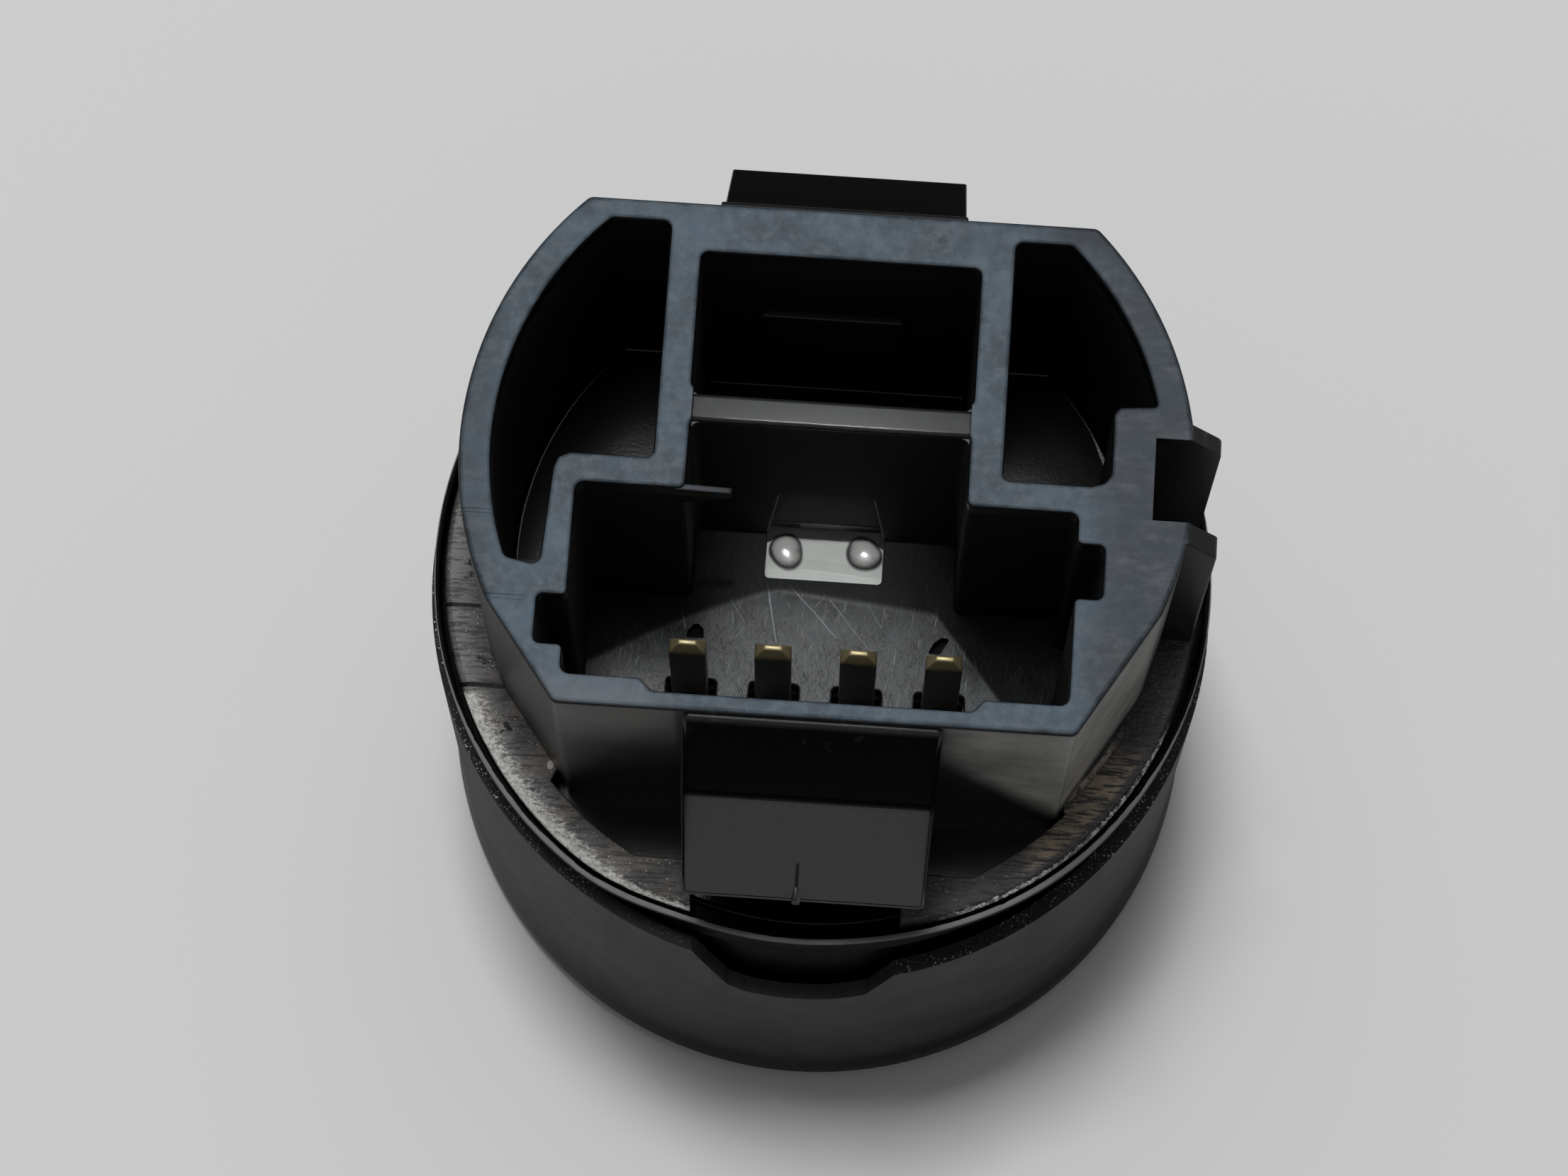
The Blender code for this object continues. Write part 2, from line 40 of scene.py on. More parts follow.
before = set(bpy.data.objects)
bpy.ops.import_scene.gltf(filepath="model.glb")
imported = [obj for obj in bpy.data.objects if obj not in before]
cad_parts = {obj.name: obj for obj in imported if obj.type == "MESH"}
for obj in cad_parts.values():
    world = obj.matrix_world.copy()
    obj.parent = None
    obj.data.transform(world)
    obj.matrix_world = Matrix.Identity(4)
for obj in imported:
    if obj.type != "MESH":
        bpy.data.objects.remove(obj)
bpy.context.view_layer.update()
scene = bpy.context.scene


# ------------------------------------------------------------------ mesh helpers
def link_mesh(name, points, faces):
    mesh = bpy.data.meshes.new(name)
    mesh.from_pydata([(x * MM, y * MM, z * MM) for x, y, z in points], [], faces)
    work = bmesh.new()
    work.from_mesh(mesh)
    bmesh.ops.recalc_face_normals(work, faces=work.faces)
    if work.calc_volume(signed=True) < 0:
        bmesh.ops.reverse_faces(work, faces=work.faces)
    work.to_mesh(mesh)
    work.free()
    obj = bpy.data.objects.new(name, mesh)
    scene.collection.objects.link(obj)
    return obj


def revolve(name, profile, steps, centre=(0.0, 0.0), wobble=None):
    points, rings = [], []
    for r, z in profile:
        if r < 1e-9:
            rings.append([len(points)] * steps)
            points.append((centre[0], centre[1], z))
        else:
            rings.append(list(range(len(points), len(points) + steps)))
            for k in range(steps):
                a = 2 * math.pi * k / steps
                dr, dz = wobble(a, r, z) if wobble else (0.0, 0.0)
                points.append((centre[0] + (r + dr) * math.cos(a), centre[1] + (r + dr) * math.sin(a), z + dz))
    faces = []
    for i in range(len(profile)):
        low, high = rings[i], rings[(i + 1) % len(profile)]
        for k in range(steps):
            n = (k + 1) % steps
            face = []
            for v in (low[k], low[n], high[n], high[k]):
                if v not in face:
                    face.append(v)
            if len(face) > 2:
                faces.append(face)
    return link_mesh(name, points, faces)


def stack(name, levels):
    """A solid through outlines at rising heights, all with the same number of points."""
    n = len(levels[0][0])
    points = [(x, y, z) for outline, z in levels for x, y in outline]
    faces = [list(range(n))[::-1], list(range((len(levels) - 1) * n, len(levels) * n))]
    for lv in range(len(levels) - 1):
        faces += [[lv * n + k, lv * n + (k + 1) % n, (lv + 1) * n + (k + 1) % n, (lv + 1) * n + k] for k in range(n)]
    return link_mesh(name, points, faces)


def box(name, x0, x1, y0, y1, z0, z1):
    outline = [(x0, y0), (x1, y0), (x1, y1), (x0, y1)]
    return stack(name, [(outline, z0), (outline, z1)])


def sweep(name, outline, axis, lo, hi, scale_hi=None):
    """An outline in the other two coordinates, pushed along X or Y."""
    n = len(outline)
    far = scale_hi or outline
    if axis == "x":
        points = [(lo, u, z) for u, z in outline] + [(hi, u, z) for u, z in far]
    else:
        points = [(u, lo, z) for u, z in outline] + [(u, hi, z) for u, z in far]
    faces = [list(range(n))[::-1], list(range(n, 2 * n))]
    faces += [[k, (k + 1) % n, n + (k + 1) % n, n + k] for k in range(n)]
    return link_mesh(name, points, faces)


def offset(outline, d):
    """The outline moved inwards by d (outwards if negative); it runs anticlockwise."""
    n, out = len(outline), []
    for k in range(n):
        ax, ay = outline[k - 1]
        bx, by = outline[k]
        cx, cy = outline[(k + 1) % n]
        ux, uy = bx - ax, by - ay
        vx, vy = cx - bx, cy - by
        lu, lv = math.hypot(ux, uy), math.hypot(vx, vy)
        n1 = (-uy / lu, ux / lu)
        n2 = (-vy / lv, vx / lv)
        dot = max(-0.6, n1[0] * n2[0] + n1[1] * n2[1])
        s = d / (1 + dot)
        out.append((bx + (n1[0] + n2[0]) * s, by + (n1[1] + n2[1]) * s))
    return out


def combine(obj, others, operation):
    for other in others:
        step = obj.modifiers.new("step", "BOOLEAN")
        step.operation = operation
        step.solver = "EXACT"
        step.object = other
        bpy.context.view_layer.update()
        made = bpy.data.meshes.new_from_object(obj.evaluated_get(bpy.context.evaluated_depsgraph_get()))
        obj.modifiers.clear()
        old = obj.data
        obj.data = made
        bpy.data.meshes.remove(old)
        bpy.data.objects.remove(other, do_unlink=True)
    work = bmesh.new()
    work.from_mesh(obj.data)
    bmesh.ops.remove_doubles(work, verts=work.verts, dist=2e-7)
    bmesh.ops.dissolve_degenerate(work, edges=work.edges, dist=1e-7)
    work.to_mesh(obj.data)
    work.free()
    return obj


def cut(obj, *others):
    return combine(obj, others, "DIFFERENCE")


def add(obj, *others):
    return combine(obj, others, "UNION")


def shade(obj, mat, angle=34, weighted=True):
    obj.data.materials.clear()
    obj.data.materials.append(mat)
    obj.data.shade_smooth()
    obj.data.set_sharp_from_angle(angle=math.radians(angle))
    if weighted:
        w = obj.modifiers.new("weighted", "WEIGHTED_NORMAL")
        w.keep_sharp = True
        w.weight = 80
    return obj


def arc(cx, cy, r, a0, a1, steps):
    return [(cx + r * math.cos(math.radians(a0 + (a1 - a0) * k / steps)),
             cy + r * math.sin(math.radians(a0 + (a1 - a0) * k / steps))) for k in range(steps + 1)]


def round_over(outline, top, r, steps=4, inward=True):
    """Levels of an outline whose upper edge is rounded by r, ending at top."""
    levels = []
    for k in range(steps + 1):
        t = math.pi / 2 * k / steps
        d = r * (1 - math.cos(t))
        levels.append((offset(outline, d if inward else -d), top - r + r * math.sin(t)))
    return levels


# ------------------------------------------------------------------ materials
def node_kit(name):
    mat = bpy.data.materials.new(name)
    mat.use_nodes = True
    tree = mat.node_tree
    tree.nodes.clear()
    out = tree.nodes.new("ShaderNodeOutputMaterial")
    shader = tree.nodes.new("ShaderNodeBsdfPrincipled")
    tree.links.new(shader.outputs[0], out.inputs[0])
    return mat, Kit(tree, shader)


class Kit:
    """Short calls for building a shader tree whose coordinates are millimetres in the row frame."""

    def __init__(self, tree, shader):
        self.t, self.s = tree, shader
        co = tree.nodes.new("ShaderNodeTexCoord")
        scale = tree.nodes.new("ShaderNodeVectorMath")
        scale.operation = "SCALE"
        scale.inputs["Scale"].default_value = 1000.0
        tree.links.new(co.outputs["Object"], scale.inputs[0])
        self.mm = scale.outputs[0]
        sep = tree.nodes.new("ShaderNodeSeparateXYZ")
        tree.links.new(self.mm, sep.inputs[0])
        self.x, self.y, self.z = sep.outputs
        geo = tree.nodes.new("ShaderNodeNewGeometry")
        sn = tree.nodes.new("ShaderNodeSeparateXYZ")
        tree.links.new(geo.outputs["True Normal"], sn.inputs[0])
        self.nx, self.ny, self.nz = sn.outputs

    def put(self, socket, value):
        if isinstance(value, bpy.types.NodeSocket):
            self.t.links.new(value, socket)
        else:
            socket.default_value = value

    def math(self, op, a, b=0.0, c=0.0, clamp=False):
        m = self.t.nodes.new("ShaderNodeMath")
        m.operation = op
        m.use_clamp = clamp
        for socket, value in zip(m.inputs, (a, b, c)):
            self.put(socket, value)
        return m.outputs[0]

    def ramp(self, value, a, b, lo=0.0, hi=1.0, smooth=True):
        """lo at a, hi at b, clamped between."""
        m = self.t.nodes.new("ShaderNodeMapRange")
        m.interpolation_type = "SMOOTHSTEP" if smooth else "LINEAR"
        m.clamp = True
        self.put(m.inputs["Value"], value)
        m.inputs["From Min"].default_value = a
        m.inputs["From Max"].default_value = b
        m.inputs["To Min"].default_value = lo
        m.inputs["To Max"].default_value = hi
        return m.outputs[0]

    def band(self, value, a, b, soft):
        """1 between a and b, falling to 0 within soft outside."""
        return self.math("MULTIPLY", self.ramp(value, a - soft, a), self.ramp(value, b, b + soft, 1.0, 0.0))

    def stretch(self, sx, sy, sz, turn=0.0, shift=(0.0, 0.0, 0.0)):
        m = self.t.nodes.new("ShaderNodeMapping")
        self.t.links.new(self.mm, m.inputs["Vector"])
        m.inputs["Scale"].default_value = (sx, sy, sz)
        m.inputs["Rotation"].default_value = (0, 0, math.radians(turn))
        m.inputs["Location"].default_value = shift
        return m.outputs[0]

    def noise(self, scale, detail=2.0, rough=0.5, vector=None, distortion=0.0):
        m = self.t.nodes.new("ShaderNodeTexNoise")
        self.t.links.new(vector or self.mm, m.inputs["Vector"])
        m.inputs["Scale"].default_value = scale
        m.inputs["Detail"].default_value = detail
        m.inputs["Roughness"].default_value = rough
        m.inputs["Distortion"].default_value = distortion
        return m.outputs["Fac"]

    def cells(self, scale, vector=None, feature="F1", what="Distance", randomness=1.0):
        m = self.t.nodes.new("ShaderNodeTexVoronoi")
        m.feature = feature
        self.t.links.new(vector or self.mm, m.inputs["Vector"])
        m.inputs["Scale"].default_value = scale
        m.inputs["Randomness"].default_value = randomness
        return m.outputs[what]

    def mix(self, factor, a, b):
        m = self.t.nodes.new("ShaderNodeMix")
        m.data_type = "RGBA"
        self.put(m.inputs[0], factor)
        for socket, value in ((m.inputs[6], a), (m.inputs[7], b)):
            self.put(socket, (*value, 1.0) if isinstance(value, tuple) and len(value) == 3 else value)
        return m.outputs[2]

    def blend(self, factor, a, b):
        m = self.t.nodes.new("ShaderNodeMix")
        m.data_type = "FLOAT"
        self.put(m.inputs[0], factor)
        self.put(m.inputs[2], a)
        self.put(m.inputs[3], b)
        return m.outputs[0]

    def bump(self, height, strength, distance_mm, normal=None):
        m = self.t.nodes.new("ShaderNodeBump")
        self.put(m.inputs["Height"], height)
        self.put(m.inputs["Strength"], strength)
        m.inputs["Distance"].default_value = distance_mm * MM
        if normal is not None:
            self.t.links.new(normal, m.inputs["Normal"])
        return m.outputs[0]

    def soft_edges(self, radius_mm, samples=4):
        m = self.t.nodes.new("ShaderNodeBevel")
        m.samples = samples
        m.inputs["Radius"].default_value = radius_mm * MM
        return m.outputs[0]

    def scratches(self, turn, length, width, density, seed):
        """Thin straight marks along one direction: 1 on a mark, 0 off it."""
        m = self.t.nodes.new("ShaderNodeMapping")
        m.vector_type = "TEXTURE"
        self.t.links.new(self.mm, m.inputs["Vector"])
        m.inputs["Scale"].default_value = (length, width, 1.0)
        m.inputs["Rotation"].default_value = (0, 0, math.radians(turn))
        m.inputs["Location"].default_value = (seed * 7.3, seed * 3.1, 0.0)
        line = self.noise(1.0, 2.0, 0.6, m.outputs[0])
        return self.ramp(line, density, density + 0.05)


def black_plastic(name, colour, rough, grain=0.03, grain_scale=14.0, edge=0.0):
    mat, k = node_kit(name)
    cloud = k.noise(0.35, 4.0, 0.55)
    fine = k.noise(grain_scale, 3.0, 0.6)
    base = k.mix(k.ramp(cloud, 0.35, 0.7), tuple(c * 0.8 for c in colour), tuple(c * 1.35 for c in colour))
    k.put(k.s.inputs["Base Color"], base)
    k.put(k.s.inputs["Roughness"], k.math("ADD", rough - 0.05, k.math("MULTIPLY", k.noise(1.3, 5.0, 0.6), 0.12)))
    normal = k.soft_edges(edge) if edge else None
    k.put(k.s.inputs["Normal"], k.bump(fine, 0.35, grain, normal))
    return mat, k


def moulded(name, colour, rough, vary=0.15, grain_scale=9.0, grain=0.02, subsurface=0.0):
    mat, k = node_kit(name)
    cloud = k.noise(0.6, 4.0, 0.6)
    low = tuple(max(0.0, c * (1 - vary)) for c in colour)
    high = tuple(min(1.0, c * (1 + vary)) for c in colour)
    k.put(k.s.inputs["Base Color"], k.mix(cloud, low, high))
    k.put(k.s.inputs["Roughness"], k.math("ADD", rough - 0.06, k.math("MULTIPLY", k.noise(2.2, 4.0, 0.6), 0.12)))
    k.put(k.s.inputs["Normal"], k.bump(k.noise(grain_scale, 3.0, 0.6), 0.3, grain))
    if subsurface:
        k.s.inputs["Subsurface Weight"].default_value = subsurface
        k.s.inputs["Subsurface Scale"].default_value = 0.001
    return mat, k


def metal(name, colour, rough, turn=0.0, brushed=False):
    mat, k = node_kit(name)
    cloud = k.noise(1.6, 4.0, 0.6)
    k.put(k.s.inputs["Base Color"], k.mix(cloud, tuple(c * 0.75 for c in colour), tuple(min(1, c * 1.15) for c in colour)))
    k.s.inputs["Metallic"].default_value = 1.0
    lines = k.noise(1.0, 3.0, 0.6, k.stretch(0.6, 14.0, 0.6, turn)) if brushed else k.noise(6.0, 4.0, 0.6)
    k.put(k.s.inputs["Roughness"], k.math("ADD", rough - 0.05, k.math("MULTIPLY", lines, 0.16)))
    k.put(k.s.inputs["Normal"], k.bump(lines, 0.25, 0.01))
    return mat, k


def area2(outline):
    return sum(outline[k - 1][0] * outline[k][1] - outline[k][0] * outline[k - 1][1] for k in range(len(outline)))


def ccw(outline):
    return list(outline) if area2(outline) > 0 else list(outline)[::-1]


def corners(points, radii, steps=5):
    """A closed outline whose corners are rounded, each by its own radius (one number for all, 0 keeps a corner)."""
    n, out = len(points), []
    for k in range(n):
        r = radii[k] if isinstance(radii, (list, tuple)) else radii
        a, b, c = Vector(points[k - 1]), Vector(points[k]), Vector(points[(k + 1) % n])
        u, v = a - b, c - b
        lu, lv = u.length, v.length
        u.normalize()
        v.normalize()
        turn = math.acos(max(-1.0, min(1.0, (-u).dot(v))))
        if r <= 0 or turn < math.radians(11):
            out.append(tuple(b))
            continue
        cut_back = min(r * math.tan(turn / 2), 0.47 * min(lu, lv))
        r = cut_back / math.tan(turn / 2)
        p0, p1 = b + u * cut_back, b + v * cut_back
        centre = b + (u + v).normalized() * math.hypot(r, cut_back)
        a0 = math.atan2(p0.y - centre.y, p0.x - centre.x)
        a1 = math.atan2(p1.y - centre.y, p1.x - centre.x)
        d = (a1 - a0 + math.pi) % (2 * math.pi) - math.pi
        out += [(centre.x + r * math.cos(a0 + d * i / steps), centre.y + r * math.sin(a0 + d * i / steps)) for i in range(steps + 1)]
    return out


def cavity(name, outline, floor, top, over, mouth=0.2, foot=0.15, draft=0.0, steps=4):
    """A cutter for a hollow with a rounded foot and a rounded mouth, leaning outwards by draft over its height."""
    outline = ccw(outline)
    levels = []
    for k in range(steps + 1):
        t = math.pi / 2 * k / steps
        levels.append((offset(outline, draft + foot * (1 - math.sin(t))), floor + foot * (1 - math.cos(t))))
    for k in range(steps + 1):
        t = math.pi / 2 * k / steps
        levels.append((offset(outline, -mouth * (1 - math.cos(t))), top - mouth + mouth * math.sin(t)))
    levels.append((offset(outline, -mouth), over))
    return stack(name, levels)


def slab(name, outline, axis, lo, hi, edge=0.12, steps=3):
    """An outline in the other two coordinates pushed along an axis, with rounded end edges."""
    outline = ccw(outline)
    rings = []
    for k in range(steps + 1):
        t = math.pi / 2 * k / steps
        rings.append((offset(outline, edge * (1 - math.sin(t))), lo + edge * (1 - math.cos(t))))
    for k in range(steps + 1):
        t = math.pi / 2 * k / steps
        rings.append((offset(outline, edge * (1 - math.cos(t))), hi - edge + edge * math.sin(t)))
    n = len(outline)
    points = []
    for ring, w in rings:
        for a, b in ring:
            points.append({"x": (w, a, b), "y": (a, w, b), "z": (a, b, w)}[axis])
    faces = [list(range(n))[::-1], list(range((len(rings) - 1) * n, len(rings) * n))]
    for lv in range(len(rings) - 1):
        faces += [[lv * n + k, lv * n + (k + 1) % n, (lv + 1) * n + (k + 1) % n, (lv + 1) * n + k] for k in range(n)]
    return link_mesh(name, points, faces)


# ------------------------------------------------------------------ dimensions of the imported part
LIP_TOP, DISC_TOP, TOWER_TOP, TOWER_DY = 25.5, 25.4, 39.4, 0.3
TOWER_R, TOWER_CY, TOWER_BACK_Y, TOWER_FRONT_Y = 14.54, 0.385, 10.77, -10.22
INNER_R_TOP, INNER_R_FLOOR = 13.25, 12.85
SOCKET_FLOOR, POCKET_FLOOR, RECESS_FLOOR, RECESS_R = 23.76, 23.46, 23.6, 14.45
BLADE_X, BLADE_Y = (-5.25, -1.75, 1.75, 5.25), -5.1
ROUND = 176


def angle_at_y(r, y, side):
    a = math.degrees(math.asin((y - TOWER_CY) / r))
    return a if side > 0 else 180 - a


# ------------------------------------------------------------------ rear cover
def tower_outline():
    right = arc(0, TOWER_CY, TOWER_R, angle_at_y(TOWER_R, -5.1, 1), angle_at_y(TOWER_R, TOWER_BACK_Y, 1), 34)
    left = arc(0, TOWER_CY, TOWER_R, angle_at_y(TOWER_R, TOWER_BACK_Y, -1), angle_at_y(TOWER_R, -6.2, -1), 36)
    return corners([(10.35, TOWER_FRONT_Y)] + right + left + [(-10.0, TOWER_FRONT_Y)], 0.42, 5)


def left_pocket(r):
    curve = arc(0, TOWER_CY, r, angle_at_y(r, 9.9, -1), angle_at_y(r, -4.43, -1), 32)
    rest = [(-10.98, -4.7), (-10.76, -0.7), (-10.6, -0.22), (-10.13, 0.0), (-6.85, 0.0), (-6.85, 9.9)]
    return corners(curve + rest, 0.34, 5)


def right_pocket(r):
    curve = arc(0, TOWER_CY, r, angle_at_y(r, 3.42, 1), angle_at_y(r, 9.93, 1), 24)
    rest = [(6.97, 9.93), (6.97, -0.03), (10.45, -0.03), (10.95, 0.14), (11.2, 0.5), (11.2, 3.0), (11.38, 3.3)]
    return corners(curve + rest, 0.3, 5)


def socket_outline():
    points = [
        (-9.8, -9.0), (-6.7, -9.0), (-6.2, -9.5), (6.3, -9.5), (6.7, -9.0), (10.0, -9.0),
        (10.0, -4.65), (11.1, -4.65), (11.1, -2.45), (10.0, -2.45), (10.0, -1.2), (5.6, -1.2),
        (5.6, 1.8), (-5.5, 1.8), (-5.5, -1.2), (-9.8, -1.2), (-9.8, -5.87), (-10.95, -5.87),
        (-10.95, -7.85), (-9.8, -7.85),
    ]
    radii = [0.35, 0.3, 0.3, 0.3, 0.3, 0.35, 0.22, 0.25, 0.25, 0.22, 0.35, 0.3, 0.35, 0.35, 0.3, 0.35, 0.22, 0.25, 0.25, 0.22]
    return corners(points, radii, 4)


def snap_arm(name, wall, side, reach):
    """An arm hung from the tower's wall top: a steep outer face, a soft break, a ramp and a hook."""
    line = [(-0.6, 39.0), (0.23, 39.0), (1.98, 34.0), (reach, 30.65), (reach, 30.2), (2.0, 30.2), (1.86, 30.55), (0.12, 35.6), (-0.6, 36.3)]
    shape = corners(line, [0, 0.22, 1.5, 0.16, 0.1, 0.1, 0.2, 0.5, 0], 6)
    outline = [(wall + side * u, z) for u, z in shape]
    left, right = ((-4.92, -5.0, -4.72), (5.2, 5.14, 5.02)) if side < 0 else ((-4.93, -4.96, -4.86), (5.0, 5.02, 4.98))
    arm = slab(name, outline, "x", -4.95, 5.05, 0.24 if side < 0 else 0.08, 4)
    for v in arm.data.vertices:
        z = v.co.z / MM
        t = (z - 34.0) / 5.0 if z > 34.0 else (34.0 - z) / 3.8
        far = 0 if z > 34.0 else 2
        lo = left[1] + (left[far] - left[1]) * min(1.0, t)
        hi = right[1] + (right[far] - right[1]) * min(1.0, t)
        x = v.co.x / MM
        v.co.x = (lo + (x + 4.95) * (hi - lo) / 10.0) * MM
    return arm


def guide_rib(name, y0, y1):
    outline = corners([(12.0, 24.95), (15.62, 24.95), (15.62, 37.7), (14.3, 39.37), (12.0, 39.37)], [0, 0, 0.7, 0.25, 0], 5)
    return slab(name, outline, "y", y0, y1, 0.1, 3)


def recess(name, y0, y1, left, right, y_end):
    side = 1 if y_end > 0 else -1
    near, far = (y0, y1) if side > 0 else (y1, y0)
    a_far = math.degrees(math.asin(abs(far) / RECESS_R))
    a_near = math.degrees(math.asin(abs(near) / RECESS_R))
    pts = arc(0, 0, RECESS_R, side * a_near, side * a_far, 14)
    inner = (pts[0][0] - 0.5, near - side * 1.1)
    outline = [inner] + pts + [(right, far), (right, y_end), (-left, y_end), (-left, far)] + [(-x, y) for x, y in pts[::-1]] + [(-inner[0], inner[1])]
    radii = [0.0, 0.0] + [0.22] * (len(outline) - 4) + [0.0, 0.0]
    return cavity(name, corners(outline, radii, 4), RECESS_FLOOR, DISC_TOP, DISC_TOP + 2.0, mouth=0.10, foot=0.08)


def set_back(obj):
    """Places a shape of the tower's group at its line behind the disc's centre."""
    obj.location.y = TOWER_DY * MM
    return obj


def smooth(v, a, b):
    t = min(1.0, max(0.0, (v - a) / (b - a)))
    return t * t * (3 - 2 * t)


def flat_front(a, r):
    """How far the disc's edge and the housing's lip lie inside their circle at the front, where both are flattened."""
    x, y = r * math.cos(a), r * math.sin(a)
    return 0.45 * smooth(x, -9.6, -4.0) * smooth(x, 12.5, 2.0) if y < 0 else 0.0


def lip_wobble(a, r, z):
    return (-flat_front(a, r) * smooth(z, 23.6, 24.4), 0.0) if r > 15.85 and z > 23.6 else (0.0, 0.0)


def rim_wobble(a, r, z):
    """The disc's rim was trimmed by hand: its chamfer is widest at the lower left and its edge is ragged."""
    if r < 15.6:
        return 0.0, 0.0
    flat = flat_front(a, r)
    if z < 25.1:
        return -flat, 0.0
    wide = math.exp(-((math.degrees(a) - 222) / 26.0) ** 2)
    n = noise.noise(Vector((math.cos(a) * 22.0, math.sin(a) * 22.0, r * 3.0)))
    m = noise.noise(Vector((math.cos(a) * 60.0, math.sin(a) * 60.0, 9.0 + r)))
    if z > 25.35:
        return -flat - 0.16 * wide + 0.05 * n * (0.4 + wide) + 0.03 * m * (0.3 + wide), 0.0
    return -flat - 0.02 * wide + 0.012 * n, -0.06 * wide + 0.02 * m


def build_cover(mat):
    profile = [(0, 22.76), (14.4, 22.76), (14.5, 22.86), (14.5, 23.82), (14.58, 23.9), (15.12, 23.9), (15.2, 23.98),
               (15.2, 24.62), (15.28, 24.7), (15.88, 24.7), (15.95, 24.76), (15.95, 25.12), (15.935, 25.17),
               (15.85, 25.26), (15.75, 25.355), (15.69, 25.39), (15.61, 25.4), (0, 25.4)]
    cover = revolve("rear_cover_fine", profile, ROUND, wobble=rim_wobble)
    cut(cover, recess("front_recess", -12.65, -9.7, 4.55, 4.15, -18.0), recess("back_recess", 10.9, 13.3, 4.4, 4.4, 18.0))
    outline = tower_outline()
    add(cover, set_back(stack("tower", [(ccw(outline), 23.1)] + round_over(ccw(outline), TOWER_TOP, 0.24, 5))))
    add(cover, set_back(guide_rib("rib_a", 2.02, 2.8)), set_back(guide_rib("rib_b", -2.2, -1.18)),
        set_back(snap_arm("front_snap", TOWER_FRONT_Y, -1, 5.28)), set_back(snap_arm("back_snap", TOWER_BACK_Y, 1, 4.85)))
    over = TOWER_TOP + 1.0
    cut(cover,
        set_back(box("groove", 12.9, 17.0, -1.3, 2.1, DISC_TOP + 0.05, over)),
        set_back(cavity("left_pocket", left_pocket(INNER_R_TOP), POCKET_FLOOR, TOWER_TOP, over, 0.2, 0.2, 0.0)),
        set_back(cavity("right_pocket", right_pocket(INNER_R_TOP), POCKET_FLOOR, TOWER_TOP, over, 0.2, 0.2, 0.0)),
        set_back(cavity("centre_pocket", corners([(-5.55, 2.95), (5.63, 2.95), (5.63, 8.7), (-5.55, 8.7)], 0.3, 5), POCKET_FLOOR, TOWER_TOP, over, 0.2, 0.2)),
        set_back(cavity("socket", socket_outline(), SOCKET_FLOOR, TOWER_TOP, over, 0.17, 0.1)))
    # the rib between the socket and the centre pocket is lower than the rim, with rounded edges
    ridge = [(1.4, over), (1.4, 38.6), (1.8, 38.6)] + [(2.0 - 0.2 * math.cos(math.radians(a)), 38.6 + 0.2 * math.sin(math.radians(a))) for a in (22, 45, 68, 90)]
    ridge += [(2.75 + 0.2 * math.sin(math.radians(a)), 38.6 + 0.2 * math.cos(math.radians(a))) for a in (0, 22, 45, 68, 90)] + [(3.4, 38.6), (3.4, over)]
    cut(cover, set_back(slab("rib_lowering", ridge, "x", -5.48, 5.58, 0.02, 1)))
    window = corners([(-2.5, -0.13), (2.5, -0.13), (2.5, 2.45), (-2.5, 2.45)], 0.2, 4)
    cut(cover,
        set_back(cavity("window_floor", window, 21.76, SOCKET_FLOOR, SOCKET_FLOOR + 0.4, 0.08, 0.0001)),
        set_back(slab("niche", corners([(-2.5, 23.56), (2.5, 23.56), (1.95, 29.6), (-1.95, 29.6)], [0, 0, 0.35, 0.35], 5), "y", 1.5, 2.5, 0.06, 2)))
    for x in BLADE_X:
        hole = corners([(x - 1.05, BLADE_Y - 0.62), (x + 1.05, BLADE_Y - 0.62), (x + 1.05, BLADE_Y + 0.62), (x - 1.05, BLADE_Y + 0.62)], 0.18, 4)
        cut(cover, cavity("blade_hole", hole, 21.76, SOCKET_FLOOR, SOCKET_FLOOR + 1.0, 0.1, 0.0001))
    for leaf in ([(-5.6, -2.98), (-4.88, -2.98), (-4.92, -2.62), (-5.12, -2.38), (-5.34, -2.42), (-5.56, -2.7)],
                 [(4.66, -3.02), (5.16, -3.02), (5.36, -2.66), (5.52, -2.34), (5.22, -2.32), (4.9, -2.56)]):
        cut(cover, set_back(cavity("floor_slot", corners(leaf, 0.05, 2), SOCKET_FLOOR - 0.5, SOCKET_FLOOR, SOCKET_FLOOR + 0.5, 0.03, 0.02)))
    # below the disc the tower's back corners stay within the spigot that enters the housing
    cut(cover, revolve("spigot_ring", [(14.52, 21.8), (16.0, 21.8), (16.0, 23.88), (14.52, 23.88)], ROUND))
    add(cover,
        set_back(slab("back_pad", corners([(-3.2, 29.1), (2.7, 29.1), (2.7, 32.8), (-3.2, 32.8)], 0.15, 4), "y", 8.38, 9.0, 0.1, 3)),
        set_back(slab("corner_web", corners([(-5.9, 37.2), (-3.7, 38.4), (-3.62, 39.06), (-5.9, 39.22)], [0, 0.3, 0.15, 0], 4), "y", -1.24, -0.98, 0.05, 2)))
    add(cover, set_back(slab("gate_nub", corners([(-0.31, 30.27), (0.01, 30.27), (0.03, 30.6), (-0.08, 31.05), (-0.24, 31.05), (-0.33, 30.6)], 0.05, 2), "y", -15.66, -14.9, 0.06, 2)))
    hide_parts("rear_cover")
    shade(cover, mat, 32)
    return cover


# ------------------------------------------------------------------ sleeve, housing, bezel
def sleeve_wobble(a, r, z):
    """A slightly uneven top edge, with a burr at the lower left."""
    if z > 23.0:
        m = noise.noise(Vector((math.cos(a) * 40.0, math.sin(a) * 40.0, 3.0)))
        burr = math.exp(-((math.degrees(a) - 236) / 5.0) ** 2)
        return 0.0, 0.014 * m + 0.07 * burr * (0.5 + abs(m))
    return 0.0, 0.0


